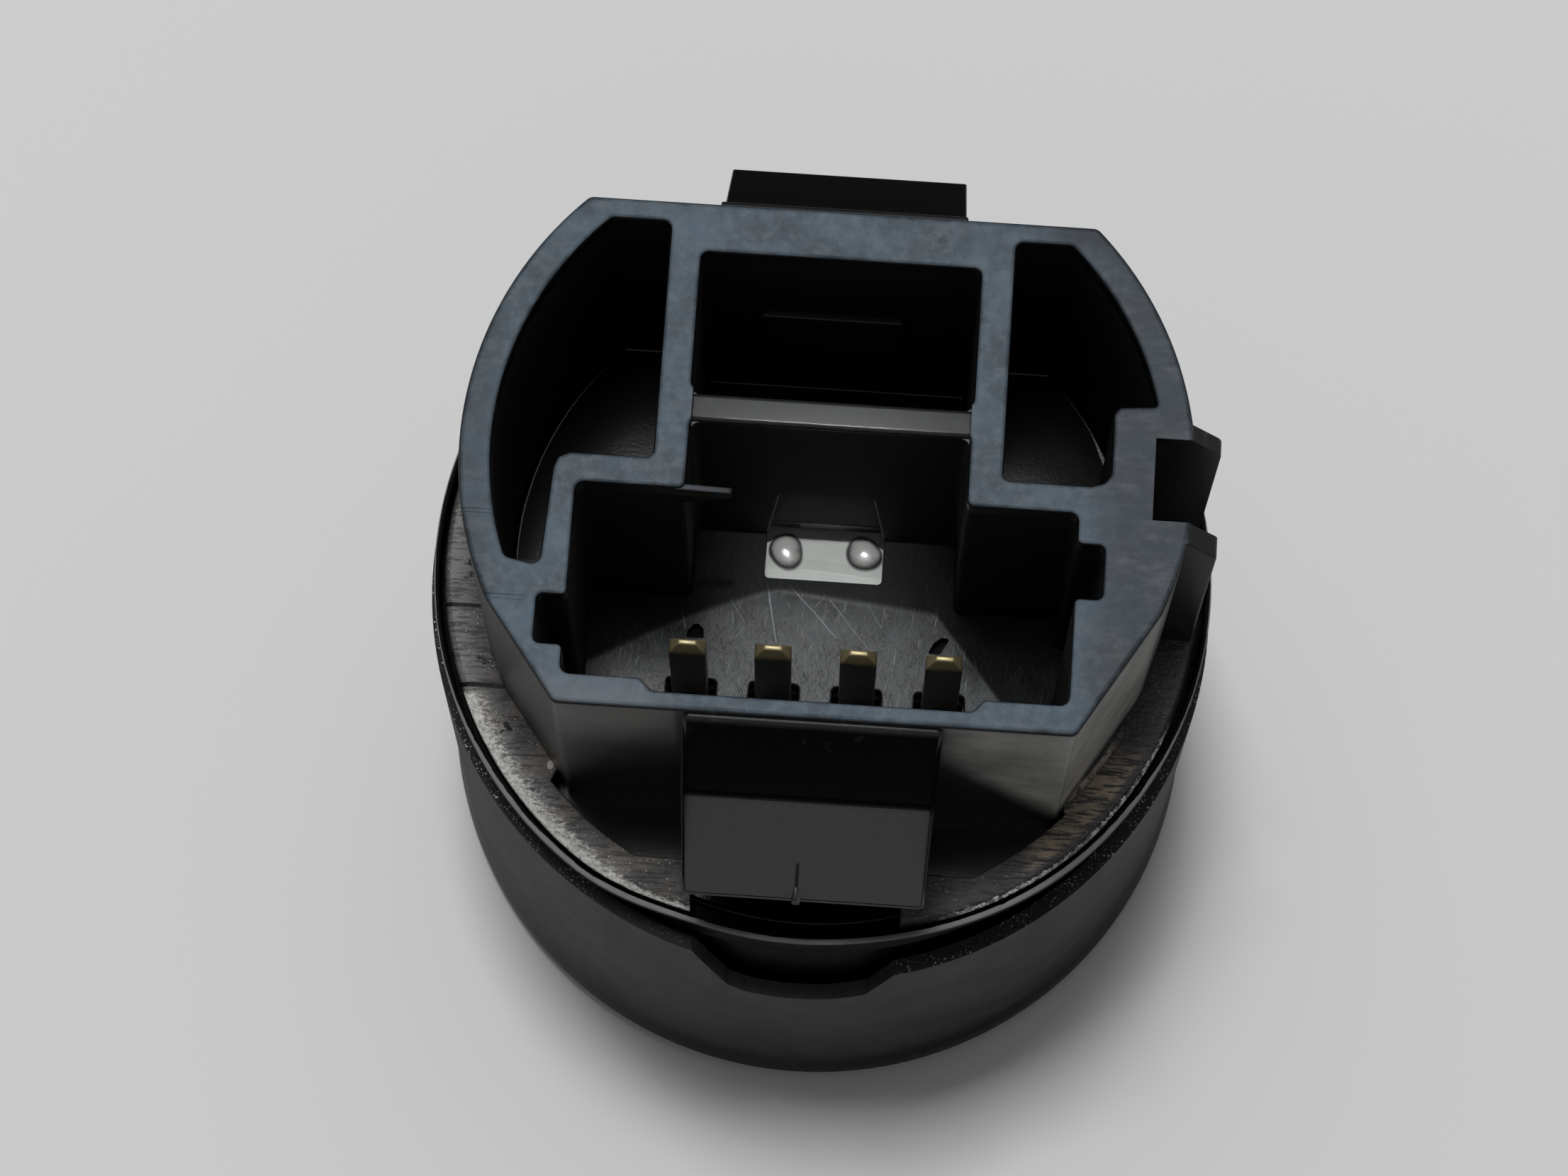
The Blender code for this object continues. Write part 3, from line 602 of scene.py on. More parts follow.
def build_sleeve(mat):
    outer = [(16.53, 23.2), (16.6, 23.18), (16.64, 23.13), (16.65, 23.04)]
    outer += [(16.65 + 0.1 * (23.04 - z) / 18.7, z) for z in (20.0, 15.0, 10.0, 6.0)]
    outer += [(16.75 + 0.2 * (0.5 - 0.5 * math.cos(math.pi * k / 8)), 4.3 - 2.2 * k / 8) for k in range(9)]
    outer += [(16.45 + 0.5 * math.cos(math.radians(a)), 1.4 + 0.5 * math.sin(math.radians(a))) for a in (0, -15, -30, -45, -60, -75, -90)]
    inner = [(16.08, 0.9), (16.0, 0.98), (16.0, 23.1), (16.1, 23.2)]
    sleeve = revolve("outer_sleeve_fine", outer + inner, ROUND, wobble=sleeve_wobble)
    line = [(-2.93, 18.2), (-2.1, 17.55), (-0.4, 17.4), (1.4, 17.45), (2.95, 17.95), (4.08, 21.2), (4.85, 24.6), (-4.87, 24.6), (-4.45, 23.2), (-3.76, 20.9)]
    line = corners(line, [0.5, 0.6, 2.0, 2.0, 0.5, 0.3, 0, 0, 0.2, 1.0], 5)
    wedge = arc(0, 0, 24.0, 284.0, 400.0, 24) + arc(0, 0, 12.0, 400.0, 284.0, 24)
    cut(sleeve, sweep("notch", line, "y", -20.0, -12.0), stack("step", [(wedge, 21.2), (wedge, 25.2)]))
    soft = sleeve.modifiers.new("soft", "BEVEL")
    soft.width = 0.07 * MM
    soft.segments = 2
    soft.limit_method = "ANGLE"
    soft.angle_limit = math.radians(50)
    soft.use_clamp_overlap = True
    shade(sleeve, mat, 34)
    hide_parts("outer_sleeve")
    return sleeve


def build_body(mat):
    profile = [(13.3, 4.58), (13.38, 4.5), (15.57, 4.5), (15.65, 4.58), (15.65, 23.5), (15.75, 23.6), (15.86, 23.6), (15.92, 23.64), (16.22, 24.46), (16.33, 24.8), (16.4, 25.05),
               (16.4, 25.40), (16.385, 25.45), (16.35, 25.485), (16.3, 25.5), (16.25, 25.5), (16.2, 25.485), (16.17, 25.45), (16.16, 25.4),
               (16.16, 24.48), (16.08, 24.4), (15.56, 24.4), (15.5, 24.34), (15.5, 23.7), (15.4, 23.6), (14.85, 23.6),
               (14.85, 20.3), (13.9, 20.3), (13.9, 19.1), (14.85, 19.1), (14.85, 11.6), (14.75, 11.5), (5.2, 11.5), (5.1, 11.4), (5.1, 10.4),
               (5.2, 10.3), (14.2, 10.3), (14.2, 6.9), (13.3, 6.9)]
    body = revolve("inner_body_fine", profile, ROUND, wobble=lip_wobble)
    cut(body, *[revolve("bore", [(0, 9.0), (1.9, 9.0), (1.9, 13.0), (0, 13.0)], 40, centre=(s * 8.4, 2.8)) for s in (-1, 1)])
    shade(body, mat, 34)
    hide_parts("inner_body")
    return body


def turned(name, profile, steps, mat, node, centre=(0.0, 0.0), angle=34, wobble=None):
    obj = revolve(name, profile, steps, centre, wobble)
    shade(obj, mat, angle)
    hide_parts(node)
    return obj


def quarter(cx, cz, r, a0, a1, steps=4):
    return [(cx + r * math.cos(math.radians(a0 + (a1 - a0) * k / steps)), cz + r * math.sin(math.radians(a0 + (a1 - a0) * k / steps))) for k in range(steps + 1)]


def build_bezel(mat):
    profile = [(13.3, 0.4)] + quarter(13.65, 0.35, 0.35, 190, 270) + quarter(16.45, 0.25, 0.25, 270, 360) + [(16.7, 0.52), (16.62, 0.6), (15.7, 0.6), (15.7, 4.12), (15.62, 4.2), (13.38, 4.2), (13.3, 4.12)]
    return turned("bezel_ring_fine", profile, ROUND, mat, "bezel_ring")


# ------------------------------------------------------------------ terminals, solder, springs, button
def build_blade(n, x, mat):
    def ring(w, t, r):
        return corners([(x - w, BLADE_Y - t), (x + w, BLADE_Y - t), (x + w, BLADE_Y + t), (x - w, BLADE_Y + t)], r, 3)
    levels = [(ring(0.66, 0.24, 0.08), 19.2), (ring(0.75, 0.32, 0.06), 19.35), (ring(0.75, 0.32, 0.06), 31.0),
              (ring(0.735, 0.31, 0.06), 31.1), (ring(0.66, 0.262, 0.06), 31.28), (ring(0.42, 0.13, 0.05), 31.7), (ring(0.37, 0.105, 0.045), 31.77), (ring(0.31, 0.07, 0.03), 31.8)]
    blade = stack(f"terminal_fine_{n}", levels)
    shade(blade, mat, 40)
    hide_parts(f"terminal_{n}")
    return blade


def build_solder(word, x, y, mat, seed):
    rng = random.Random(seed)
    ph = [rng.uniform(0, 6.28) for _ in range(3)]
    def wobble(a, r, z):
        k = r / 0.74
        return 0.05 * k * math.sin(2 * a + ph[0]) + 0.03 * k * math.sin(3 * a + ph[1]), 0.02 * k * math.sin(a + ph[2])
    top = [(0.74 * math.sin(math.radians(a)), 22.26 + 0.44 * math.cos(math.radians(a)) ** 1.15) for a in range(84, 0, -6)]
    profile = [(0, 22.22), (0.78, 22.22), (0.8, 22.24), (0.76, 22.27)] + top + [(0, 22.7)]
    return turned(f"solder_mound_fine_{word}", profile, 48, mat, f"solder_mound_{word}", (x, y), 60, wobble)


def build_spring(word, cx, mat):
    z0, z1, mean_r, wire, turns, steps, sides, flat = 6.2, 10.0, 2.2, 0.22, 3.75, 48, 12, 0.75
    total = int(turns * steps)
    points, faces = [], []
    close = 2 * wire * 1.12
    for k in range(total + 1):
        t = k / steps
        u = min(max((t - flat) / (turns - 2 * flat), 0.0), 1.0)
        z = z0 + wire + close * min(t, flat) + (z1 - z0 - 2 * wire - 2 * close * flat) * u + close * max(t - (turns - flat), 0.0)
        a = 2 * math.pi * t
        for s in range(sides):
            b = 2 * math.pi * s / sides
            r = mean_r + wire * math.cos(b)
            points.append((cx + r * math.cos(a), 2.8 + r * math.sin(a), z + wire * math.sin(b)))
    for k in range(total):
        for s in range(sides):
            m = (s + 1) % sides
            faces.append([k * sides + s, k * sides + m, (k + 1) * sides + m, (k + 1) * sides + s])
    faces += [list(range(sides)), [total * sides + s for s in range(sides)][::-1]]
    spring = link_mesh(f"return_spring_fine_{word}", points, faces)
    shade(spring, mat, 50, weighted=False)
    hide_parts(f"return_spring_{word}")
    return spring


# ------------------------------------------------------------------ finishes
def cover_finish():
    """Black moulding: pale worn rim with a painted sheen, worn disc with painted glints and a painted glare along its
    white edge, satin floor with scratches and a painted shadow, painted shade in the hollows.
    """
    mat, k = node_kit("cover_finish")
    radius = k.math("SQRT", k.math("ADD", k.math("MULTIPLY", k.x, k.x), k.math("MULTIPLY", k.y, k.y)))
    tower_y = k.math("SUBTRACT", k.y, 0.685)
    tower_radius = k.math("SQRT", k.math("ADD", k.math("MULTIPLY", k.x, k.x), k.math("MULTIPLY", tower_y, tower_y)))
    cloud = k.noise(0.5, 4.0, 0.6)
    fine = k.noise(7.0, 4.0, 0.65)
    grit = k.noise(9.0, 3.0, 0.7)
    up = k.ramp(k.nz, 0.55, 0.9)

    # the tower's rim: a worn pale blue-grey, partly a painted sheen that stands in for the overhead light's reflection,
    # paler at the front left and darker at the sides and back right
    rim = k.math("MULTIPLY", k.ramp(k.z, 39.02, 39.34), up)
    mottle = k.ramp(k.noise(0.42, 5.0, 0.62), 0.3, 0.72)
    streak = k.noise(1.0, 4.0, 0.6, k.stretch(0.8, 2.4, 1.0, 8.0))
    rim_tone_and_sheen = k.mix(mottle, (0.017, 0.026, 0.036), (0.062, 0.088, 0.112))
    freckle = k.ramp(k.noise(1.9, 5.0, 0.7), 0.42, 0.68)
    rim_tone_and_sheen = k.mix(k.math("MULTIPLY", freckle, 0.40), rim_tone_and_sheen, (0.105, 0.130, 0.155))
    pale = k.math("MULTIPLY", k.ramp(k.y, -8.2, -9.6), k.ramp(k.x, -4.0, -8.0))
    rim_tone_and_sheen = k.mix(k.math("MULTIPLY", pale, 0.45), rim_tone_and_sheen, (0.125, 0.135, 0.150))
    dull = k.math("MAXIMUM", k.math("MULTIPLY", k.ramp(k.x, 9.6, 12.0), 0.66), k.math("MULTIPLY", k.ramp(k.x, -12.4, -13.8), 0.38))
    rim_tone_and_sheen = k.mix(dull, rim_tone_and_sheen, (0.014, 0.016, 0.020))
    rim_tone_and_sheen = k.mix(k.ramp(streak, 0.45, 0.75, 0.0, 0.45), rim_tone_and_sheen, (0.075, 0.085, 0.095))
    back_right_dark = k.math("MULTIPLY", k.ramp(k.x, 6.6, 9.6), k.ramp(k.y, 8.9, 10.7))
    rim_tone_and_sheen = k.mix(k.math("MULTIPLY", back_right_dark, 0.75), rim_tone_and_sheen, (0.012, 0.014, 0.018))
    base = k.mix(k.ramp(cloud, 0.35, 0.7), (0.0045, 0.0048, 0.0055), (0.0085, 0.0090, 0.0100))
    colour = k.mix(rim, base, rim_tone_and_sheen)
    # the lowered rib's top gets a paler tone of the same kind, a painted sheen as on the rim
    low_rib = k.math("MULTIPLY", k.math("MULTIPLY", k.band(k.z, 38.5, 38.7, 0.06), up), k.band(k.y, 1.95, 3.3, 0.1))
    colour = k.mix(low_rib, colour, k.mix(mottle, (0.050, 0.060, 0.068), (0.085, 0.098, 0.108)))

    # the disc: rough, with painted light: paler at the lower left and darker at the right as it is lit, a painted warm
    # brown-grey highlight, a painted glare towards its left edge and painted glints
    disc = k.math("MULTIPLY", k.band(k.z, 25.15, 25.55, 0.05), up)
    flat = k.math("MULTIPLY", k.math("MULTIPLY", k.ramp(k.x, -9.6, -4.0), k.ramp(k.x, 12.5, 2.0)), k.ramp(k.y, 0.0, -1.0, 0.0, 0.45))
    inset = k.math("SUBTRACT", 15.95, k.math("ADD", radius, flat))
    # painted light: the disc's tone is raised towards the lower left
    left = k.ramp(k.x, -4.0, -11.0)
    disc_tone = k.mix(left, (0.024, 0.024, 0.026), (0.060, 0.060, 0.063))
    # painted warm highlight at the lower left
    warm_highlight = k.math("MULTIPLY", k.ramp(k.noise(0.6, 3.0, 0.5), 0.38, 0.62), k.math("MULTIPLY", k.ramp(k.y, -3.0, -7.0), k.ramp(k.x, -4.0, -8.0)))
    disc_tone = k.mix(k.math("MULTIPLY", warm_highlight, 0.8), disc_tone, (0.115, 0.098, 0.080))
    # painted glare: paler towards the edge at the left
    edge_glare = k.ramp(inset, 1.7, 0.1)
    disc_tone = k.mix(k.math("MULTIPLY", edge_glare, k.ramp(k.x, -6.0, -10.0, 0.10, 0.60)), disc_tone, (0.20, 0.20, 0.20))
    strokes = k.noise(1.0, 3.0, 0.70, k.stretch(0.95, 7.5, 1.0, 0.0))
    hatch = k.ramp(strokes, 0.47, 0.60)
    disc_tone = k.mix(k.math("MULTIPLY", hatch, 0.62), disc_tone, (0.014, 0.013, 0.012))
    # painted glints: white specks, brighter towards the left
    painted_glints = k.math("MULTIPLY", k.ramp(k.cells(6.0), 0.24, 0.06), k.ramp(k.noise(3.0, 2.0, 0.6), 0.40, 0.62))
    disc_tone = k.mix(k.math("MULTIPLY", painted_glints, k.ramp(k.x, 14.0, -10.0, 0.30, 0.85)), disc_tone, (0.50, 0.50, 0.48))
    pits = k.math("MULTIPLY", k.ramp(k.noise(1.4, 3.0, 0.6), 0.62, 0.68), k.ramp(k.x, -9.0, -12.5))
    disc_tone = k.mix(pits, disc_tone, (0.005, 0.005, 0.005))
    seam_a = k.band(k.y, -2.43, -2.32, 0.05)
    seam_b = k.band(k.y, -5.87, -5.74, 0.05)
    seam = k.math("MULTIPLY", k.math("MAXIMUM", seam_a, seam_b), k.ramp(k.x, -11.0, -12.5))
    disc_tone = k.mix(seam, disc_tone, (0.004, 0.004, 0.004))
    colour = k.mix(disc, colour, disc_tone)

    # the disc's edge: a painted glare, rough white along the front and widest at the lower left, and a dotted line of
    # painted highlight at the right
    grain = k.noise(4.6, 5.0, 0.75, k.stretch(0.75, 1.6, 1.0, -4.0))
    arc_left = k.math("MULTIPLY", k.ramp(k.y, -6.0, -6.3), k.ramp(k.x, -3.0, -4.2))
    arc_right = k.math("MULTIPLY", k.ramp(k.y, -5.2, -6.6), k.ramp(k.x, 5.4, 7.6))
    spread = k.ramp(k.x, -5.5, -10.5, 0.42, 1.50)
    near_edge = k.math("POWER", k.ramp(k.math("DIVIDE", inset, spread), 1.0, 0.06, 0.0, 1.0, False), 1.7)
    glare_left = k.math("MULTIPLY", arc_left, k.ramp(k.math("ADD", grain, k.math("MULTIPLY", near_edge, 0.40)), 0.58, 0.90))
    dots = k.ramp(k.noise(4.5, 2.0, 0.6), 0.42, 0.56, 0.25, 1.0)
    line = k.math("LESS_THAN", k.math("ADD", inset, k.math("MULTIPLY", k.math("SUBTRACT", grain, 0.5), 0.5)), 0.13)
    glare_right = k.math("MULTIPLY", k.math("MULTIPLY", arc_right, dots), line)
    edge_zone = k.math("MULTIPLY", k.band(k.z, 25.05, 25.55, 0.04), k.ramp(k.nz, 0.25, 0.45))
    # white: the painted glare and highlight along the disc's edge
    white = k.math("MULTIPLY", edge_zone, k.math("MAXIMUM", glare_left, glare_right))
    white = k.math("MULTIPLY", white, k.ramp(k.noise(7.5, 3.0, 0.65), 0.30, 0.60, 0.50, 1.0))
    colour = k.mix(white, colour, (0.60, 0.59, 0.565))

    # bronze strokes of painted warm highlight and a ragged pale line of painted highlight along the tower's foot, at
    # the right front
    ring = k.band(radius, 14.45, 15.35, 0.25)
    warm_glare_strokes = k.math("MULTIPLY", k.math("MULTIPLY", ring, disc), k.math("MULTIPLY", k.ramp(k.x, 8.6, 10.4), k.ramp(k.y, -6.3, -7.9)))
    warm_glare_strokes = k.math("MULTIPLY", warm_glare_strokes, k.ramp(strokes, 0.60, 0.42))
    colour = k.mix(k.math("MULTIPLY", warm_glare_strokes, 0.85), colour, (0.27, 0.215, 0.150))
    # foot: the ragged painted highlight along the tower's foot
    foot_ring = k.band(tower_radius, 14.50, 14.66, 0.05)
    foot = k.math("MULTIPLY", foot_ring, k.math("MULTIPLY", k.ramp(k.x, 10.4, 11.2), k.math("MULTIPLY", k.ramp(k.y, -5.9, -6.7), k.ramp(k.z, 26.3, 25.7))))
    foot = k.math("MULTIPLY", foot, k.ramp(k.noise(3.0, 4.0, 0.7), 0.38, 0.55))
    colour = k.mix(foot, colour, (0.32, 0.275, 0.22))
    # a small painted glint on the disc at the tower's front left corner
    corner_glint = k.math("LESS_THAN", k.math("ADD", k.math("POWER", k.math("SUBTRACT", k.x, -10.8), 2.0), k.math("MULTIPLY", k.math("POWER", k.math("SUBTRACT", k.y, -9.04), 2.0), 0.5)), 0.018)
    colour = k.mix(k.math("MULTIPLY", corner_glint, disc), colour, (0.40, 0.38, 0.34))

    # the socket's satin floor with its scratches
    floor = k.math("MULTIPLY", k.math("MULTIPLY", k.band(k.z, 23.5, 23.9, 0.04), up), k.math("MULTIPLY", k.ramp(k.y, 2.9, 2.7), k.ramp(k.y, -9.6, -9.4)))
    marks = None
    for ax, ay, bx, by, half in ((-2.32, -0.47, -1.79, -2.94, 0.045), (-1.26, -0.55, 0.75, -2.61, 0.035), (-5.88, -1.81, -5.67, -2.57, 0.05),
                                 (-3.9, -1.1, -3.2, -2.2, 0.025), (0.4, -1.0, 2.2, -3.1, 0.025), (1.9, -0.9, 2.6, -2.0, 0.02), (-4.6, -3.2, -1.0, -3.6, 0.02)):
        ay, by = ay + TOWER_DY, by + TOWER_DY
        length = math.hypot(bx - ax, by - ay)
        ux, uy = (bx - ax) / length, (by - ay) / length
        along = k.math("ADD", k.math("MULTIPLY", k.math("SUBTRACT", k.x, ax), ux), k.math("MULTIPLY", k.math("SUBTRACT", k.y, ay), uy))
        across = k.math("ADD", k.math("MULTIPLY", k.math("SUBTRACT", k.x, ax), -uy), k.math("MULTIPLY", k.math("SUBTRACT", k.y, ay), ux))
        across = k.math("ADD", across, k.math("MULTIPLY", k.math("SUBTRACT", k.noise(0.9, 2.0, 0.5), 0.5), 0.12))
        one = k.math("MULTIPLY", k.ramp(k.math("ABSOLUTE", across), half * 1.3, half * 0.4), k.band(along, 0.0, length, 0.15))
        marks = one if marks is None else k.math("MAXIMUM", marks, one)
    marks = k.math("MULTIPLY", marks, floor)
    scuffs = k.math("MAXIMUM", k.scratches(84, 1.3, 0.07, 0.60, 1), k.math("MAXIMUM", k.scratches(112, 1.6, 0.06, 0.62, 4), k.scratches(55, 1.4, 0.06, 0.62, 6)))
    dust = k.math("MULTIPLY", k.ramp(k.cells(3.1), 0.10, 0.05), 0.8)
    scuffs = k.math("MULTIPLY", k.math("MAXIMUM", scuffs, dust), floor)
    satin = k.mix(k.ramp(k.noise(0.8, 4.0, 0.6), 0.34, 0.66), (0.006, 0.007, 0.008), (0.024, 0.027, 0.029))
    colour = k.mix(floor, colour, satin)
    colour = k.mix(k.math("MULTIPLY", scuffs, 0.55), colour, (0.14, 0.145, 0.15))
    colour = k.mix(k.math("MULTIPLY", marks, 0.60), colour, (0.22, 0.235, 0.24))
    # painted shadow: outside the lit polygon the socket floor's bays and back strip are painted near black, as in the
    # shade of the walls
    lit = None
    for slope, level in ((0.553, 1.342), (0.376, 0.395), (-0.094, -0.536), (-1.255, 5.142)):
        side = k.ramp(k.math("SUBTRACT", k.y, k.math("ADD", k.math("MULTIPLY", k.x, slope), level)), 0.22, -0.22)
        lit = side if lit is None else k.math("MULTIPLY", lit, side)
    shade = k.math("MULTIPLY", floor, k.math("SUBTRACT", 1.0, lit))
    colour = k.mix(k.math("MULTIPLY", shade, 0.85), colour, (0.0018, 0.0018, 0.0020))
    # painted shade: the floor slots behind the outer blades are painted black
    slot_shade = k.math("MULTIPLY", k.ramp(k.z, 23.70, 23.62), k.math("MULTIPLY", k.band(k.y, -2.8, -1.9, 0.1), k.ramp(k.math("ABSOLUTE", k.x), 4.0, 4.4)))
    colour = k.mix(slot_shade, colour, (0.002, 0.002, 0.002))
    # painted shade: the recesses and the pockets below the disc's top are painted near black
    pockets = k.math("MULTIPLY", k.ramp(k.y, 0.2, 0.4), k.ramp(k.math("ABSOLUTE", k.x), 5.9, 6.1))
    hollow_shade = k.math("MULTIPLY", k.ramp(k.z, 25.2, 24.8), k.math("MAXIMUM", pockets, k.math("MAXIMUM", k.ramp(k.y, -9.55, -9.75), k.ramp(k.y, 3.0, 3.2))))
    colour = k.mix(hollow_shade, colour, (0.0022, 0.0022, 0.0024))
    # painted shade: the steep upper face of the front hook is painted darker
    arm_upper = k.math("MULTIPLY", k.band(k.z, 33.9, 38.7, 0.2), k.math("MULTIPLY", k.ramp(k.y, -10.05, -10.15), k.ramp(k.ny, -0.80, -0.90)))
    colour = k.mix(arm_upper, colour, (0.0018, 0.0018, 0.0020))

    # painted shade: the inner walls of the socket and pockets are painted darker
    inside = k.math("MULTIPLY", k.math("MULTIPLY", k.band(k.z, 23.9, 38.4, 0.1), k.ramp(tower_radius, 13.6, 13.4)), k.math("MULTIPLY", k.ramp(k.y, -9.6, -9.4), k.ramp(k.math("ABSOLUTE", k.nz), 0.6, 0.4)))
    colour = k.mix(inside, colour, (0.0020, 0.0020, 0.0023))
    # painted shade: the back of the rear hook is painted darker
    tail = k.math("MULTIPLY", k.ramp(k.y, 11.1, 11.3), k.ramp(k.z, 28.0, 29.0))
    colour = k.mix(tail, colour, (0.0024, 0.0024, 0.0026))

    # the hook's ramp is finely grained and painted a shade paler, a painted highlight for the light the up-facing ramp
    # catches
    arm_ramp = k.math("MULTIPLY", k.band(k.nz, 0.60, 0.82, 0.05), k.math("MULTIPLY", k.band(k.z, 30.3, 34.5, 0.15), k.ramp(k.y, -11.4, -11.8)))
    grained = k.mix(k.noise(5.0, 4.0, 0.7), (0.030, 0.031, 0.031), (0.046, 0.047, 0.047))
    colour = k.mix(arm_ramp, colour, grained)
    slit = k.math("MULTIPLY", arm_ramp, k.math("MULTIPLY", k.band(k.x, -0.20, -0.10, 0.04), k.band(k.z, 31.0, 31.8, 0.15)))
    colour = k.mix(slit, colour, (0.004, 0.004, 0.004))

    # painted light on the tower's outer walls: the upper front, above a leaning shadow edge, and the right flank are
    # painted paler, most at the right front
    front = k.math("MULTIPLY", k.ramp(k.y, -9.75, -9.88), k.ramp(k.math("ABSOLUTE", k.x), 5.1, 5.4))
    below = k.math("ADD", k.math("MULTIPLY", k.math("MAXIMUM", k.math("SUBTRACT", k.x, 5.3), 0.0), 1.65), k.z)
    painted_wall_light = k.math("MULTIPLY", front, k.ramp(below, 32.5, 36.5))
    flank = k.math("MULTIPLY", k.math("MULTIPLY", k.ramp(k.nx, 0.55, 0.75), k.ramp(k.y, -3.8, -5.4)), k.ramp(tower_radius, 13.4, 13.8))
    painted_wall_light = k.math("MULTIPLY", k.math("MAXIMUM", painted_wall_light, k.math("MULTIPLY", flank, k.ramp(k.z, 25.6, 27.5))), k.math("MULTIPLY", k.ramp(k.math("ABSOLUTE", k.nz), 0.5, 0.3), k.ramp(k.z, 39.3, 39.0)))
    painted_wall_light_tone = k.mix(k.ramp(k.x, 4.5, 6.5), (0.125, 0.124, 0.118), (0.27, 0.265, 0.25))
    colour = k.mix(k.math("MULTIPLY", painted_wall_light, k.ramp(k.noise(0.45, 4.0, 0.6), 0.25, 0.7, 0.55, 1.0)), colour, painted_wall_light_tone)

    # the niche in the socket's back wall, painted a little paler as if lit, with painted highlights along its two
    # leaning edges
    niche = k.math("MULTIPLY", k.band(k.y, 2.3, 3.0, 0.05), k.math("MULTIPLY", k.ramp(k.math("ABSOLUTE", k.x), 2.6, 2.5), k.band(k.z, 23.9, 29.5, 0.1)))
    colour = k.mix(niche, colour, (0.014, 0.014, 0.014))
    lean = k.math("SUBTRACT", k.math("ADD", k.math("ABSOLUTE", k.x), k.math("MULTIPLY", k.math("SUBTRACT", k.z, 23.56), 0.091)), 2.5)
    niche_edge_highlight = k.math("MULTIPLY", k.math("MULTIPLY", k.band(lean, -0.03, 0.05, 0.03), k.band(k.y, 2.04, 2.2, 0.04)), k.band(k.z, 24.2, 29.2, 0.5))
    colour = k.mix(niche_edge_highlight, colour, (0.30, 0.28, 0.24))

    # edges catch a little wear
    worn = k.math("MULTIPLY", k.ramp(k.z, 36.0, 39.2), k.ramp(k.noise(1.8, 4.0, 0.6), 0.58, 0.72))
    colour = k.mix(k.math("MULTIPLY", worn, 0.25), colour, (0.05, 0.06, 0.07))
    k.put(k.s.inputs["Base Color"], colour)

    rough = k.math("ADD", 0.27, k.math("MULTIPLY", k.noise(1.1, 5.0, 0.6), 0.12))
    rough = k.blend(rim, rough, k.math("ADD", 0.40, k.math("MULTIPLY", mottle, 0.16)))
    rough = k.blend(disc, rough, k.math("ADD", 0.30, k.math("MULTIPLY", hatch, 0.25)))
    rough = k.blend(floor, rough, k.math("ADD", 0.15, k.math("MULTIPLY", k.noise(2.0, 3.0, 0.6), 0.13)))
    rough = k.blend(shade, rough, 0.80)
    rough = k.blend(white, rough, 0.75)
    rough = k.blend(arm_ramp, rough, 0.50)
    rough = k.blend(slot_shade, rough, 0.8)
    rough = k.blend(arm_upper, rough, 0.14)
    rough = k.blend(k.math("MAXIMUM", hollow_shade, tail), rough, 0.15)
    rough = k.blend(inside, rough, 0.72)
    k.put(k.s.inputs["Roughness"], rough)

    height = k.math("MULTIPLY", fine, 0.10)
    height = k.math("ADD", height, k.math("MULTIPLY", k.math("MULTIPLY", disc, grit), 1.5))
    height = k.math("ADD", height, k.math("MULTIPLY", k.math("MULTIPLY", disc, k.cells(4.4)), 1.1))
    height = k.math("ADD", height, k.math("MULTIPLY", k.math("MULTIPLY", disc, strokes), 0.8))
    height = k.math("ADD", height, k.math("MULTIPLY", white, k.noise(11.0, 3.0, 0.7)))
    height = k.math("ADD", height, k.math("MULTIPLY", rim, k.noise(0.9, 4.0, 0.6)))
    height = k.math("SUBTRACT", height, k.math("MULTIPLY", k.math("MAXIMUM", marks, k.math("MULTIPLY", scuffs, 0.5)), 0.6))
    height = k.math("SUBTRACT", height, k.math("MULTIPLY", seam, 1.6))
    k.put(k.s.inputs["Normal"], k.bump(height, 0.55, 0.06))
    return mat


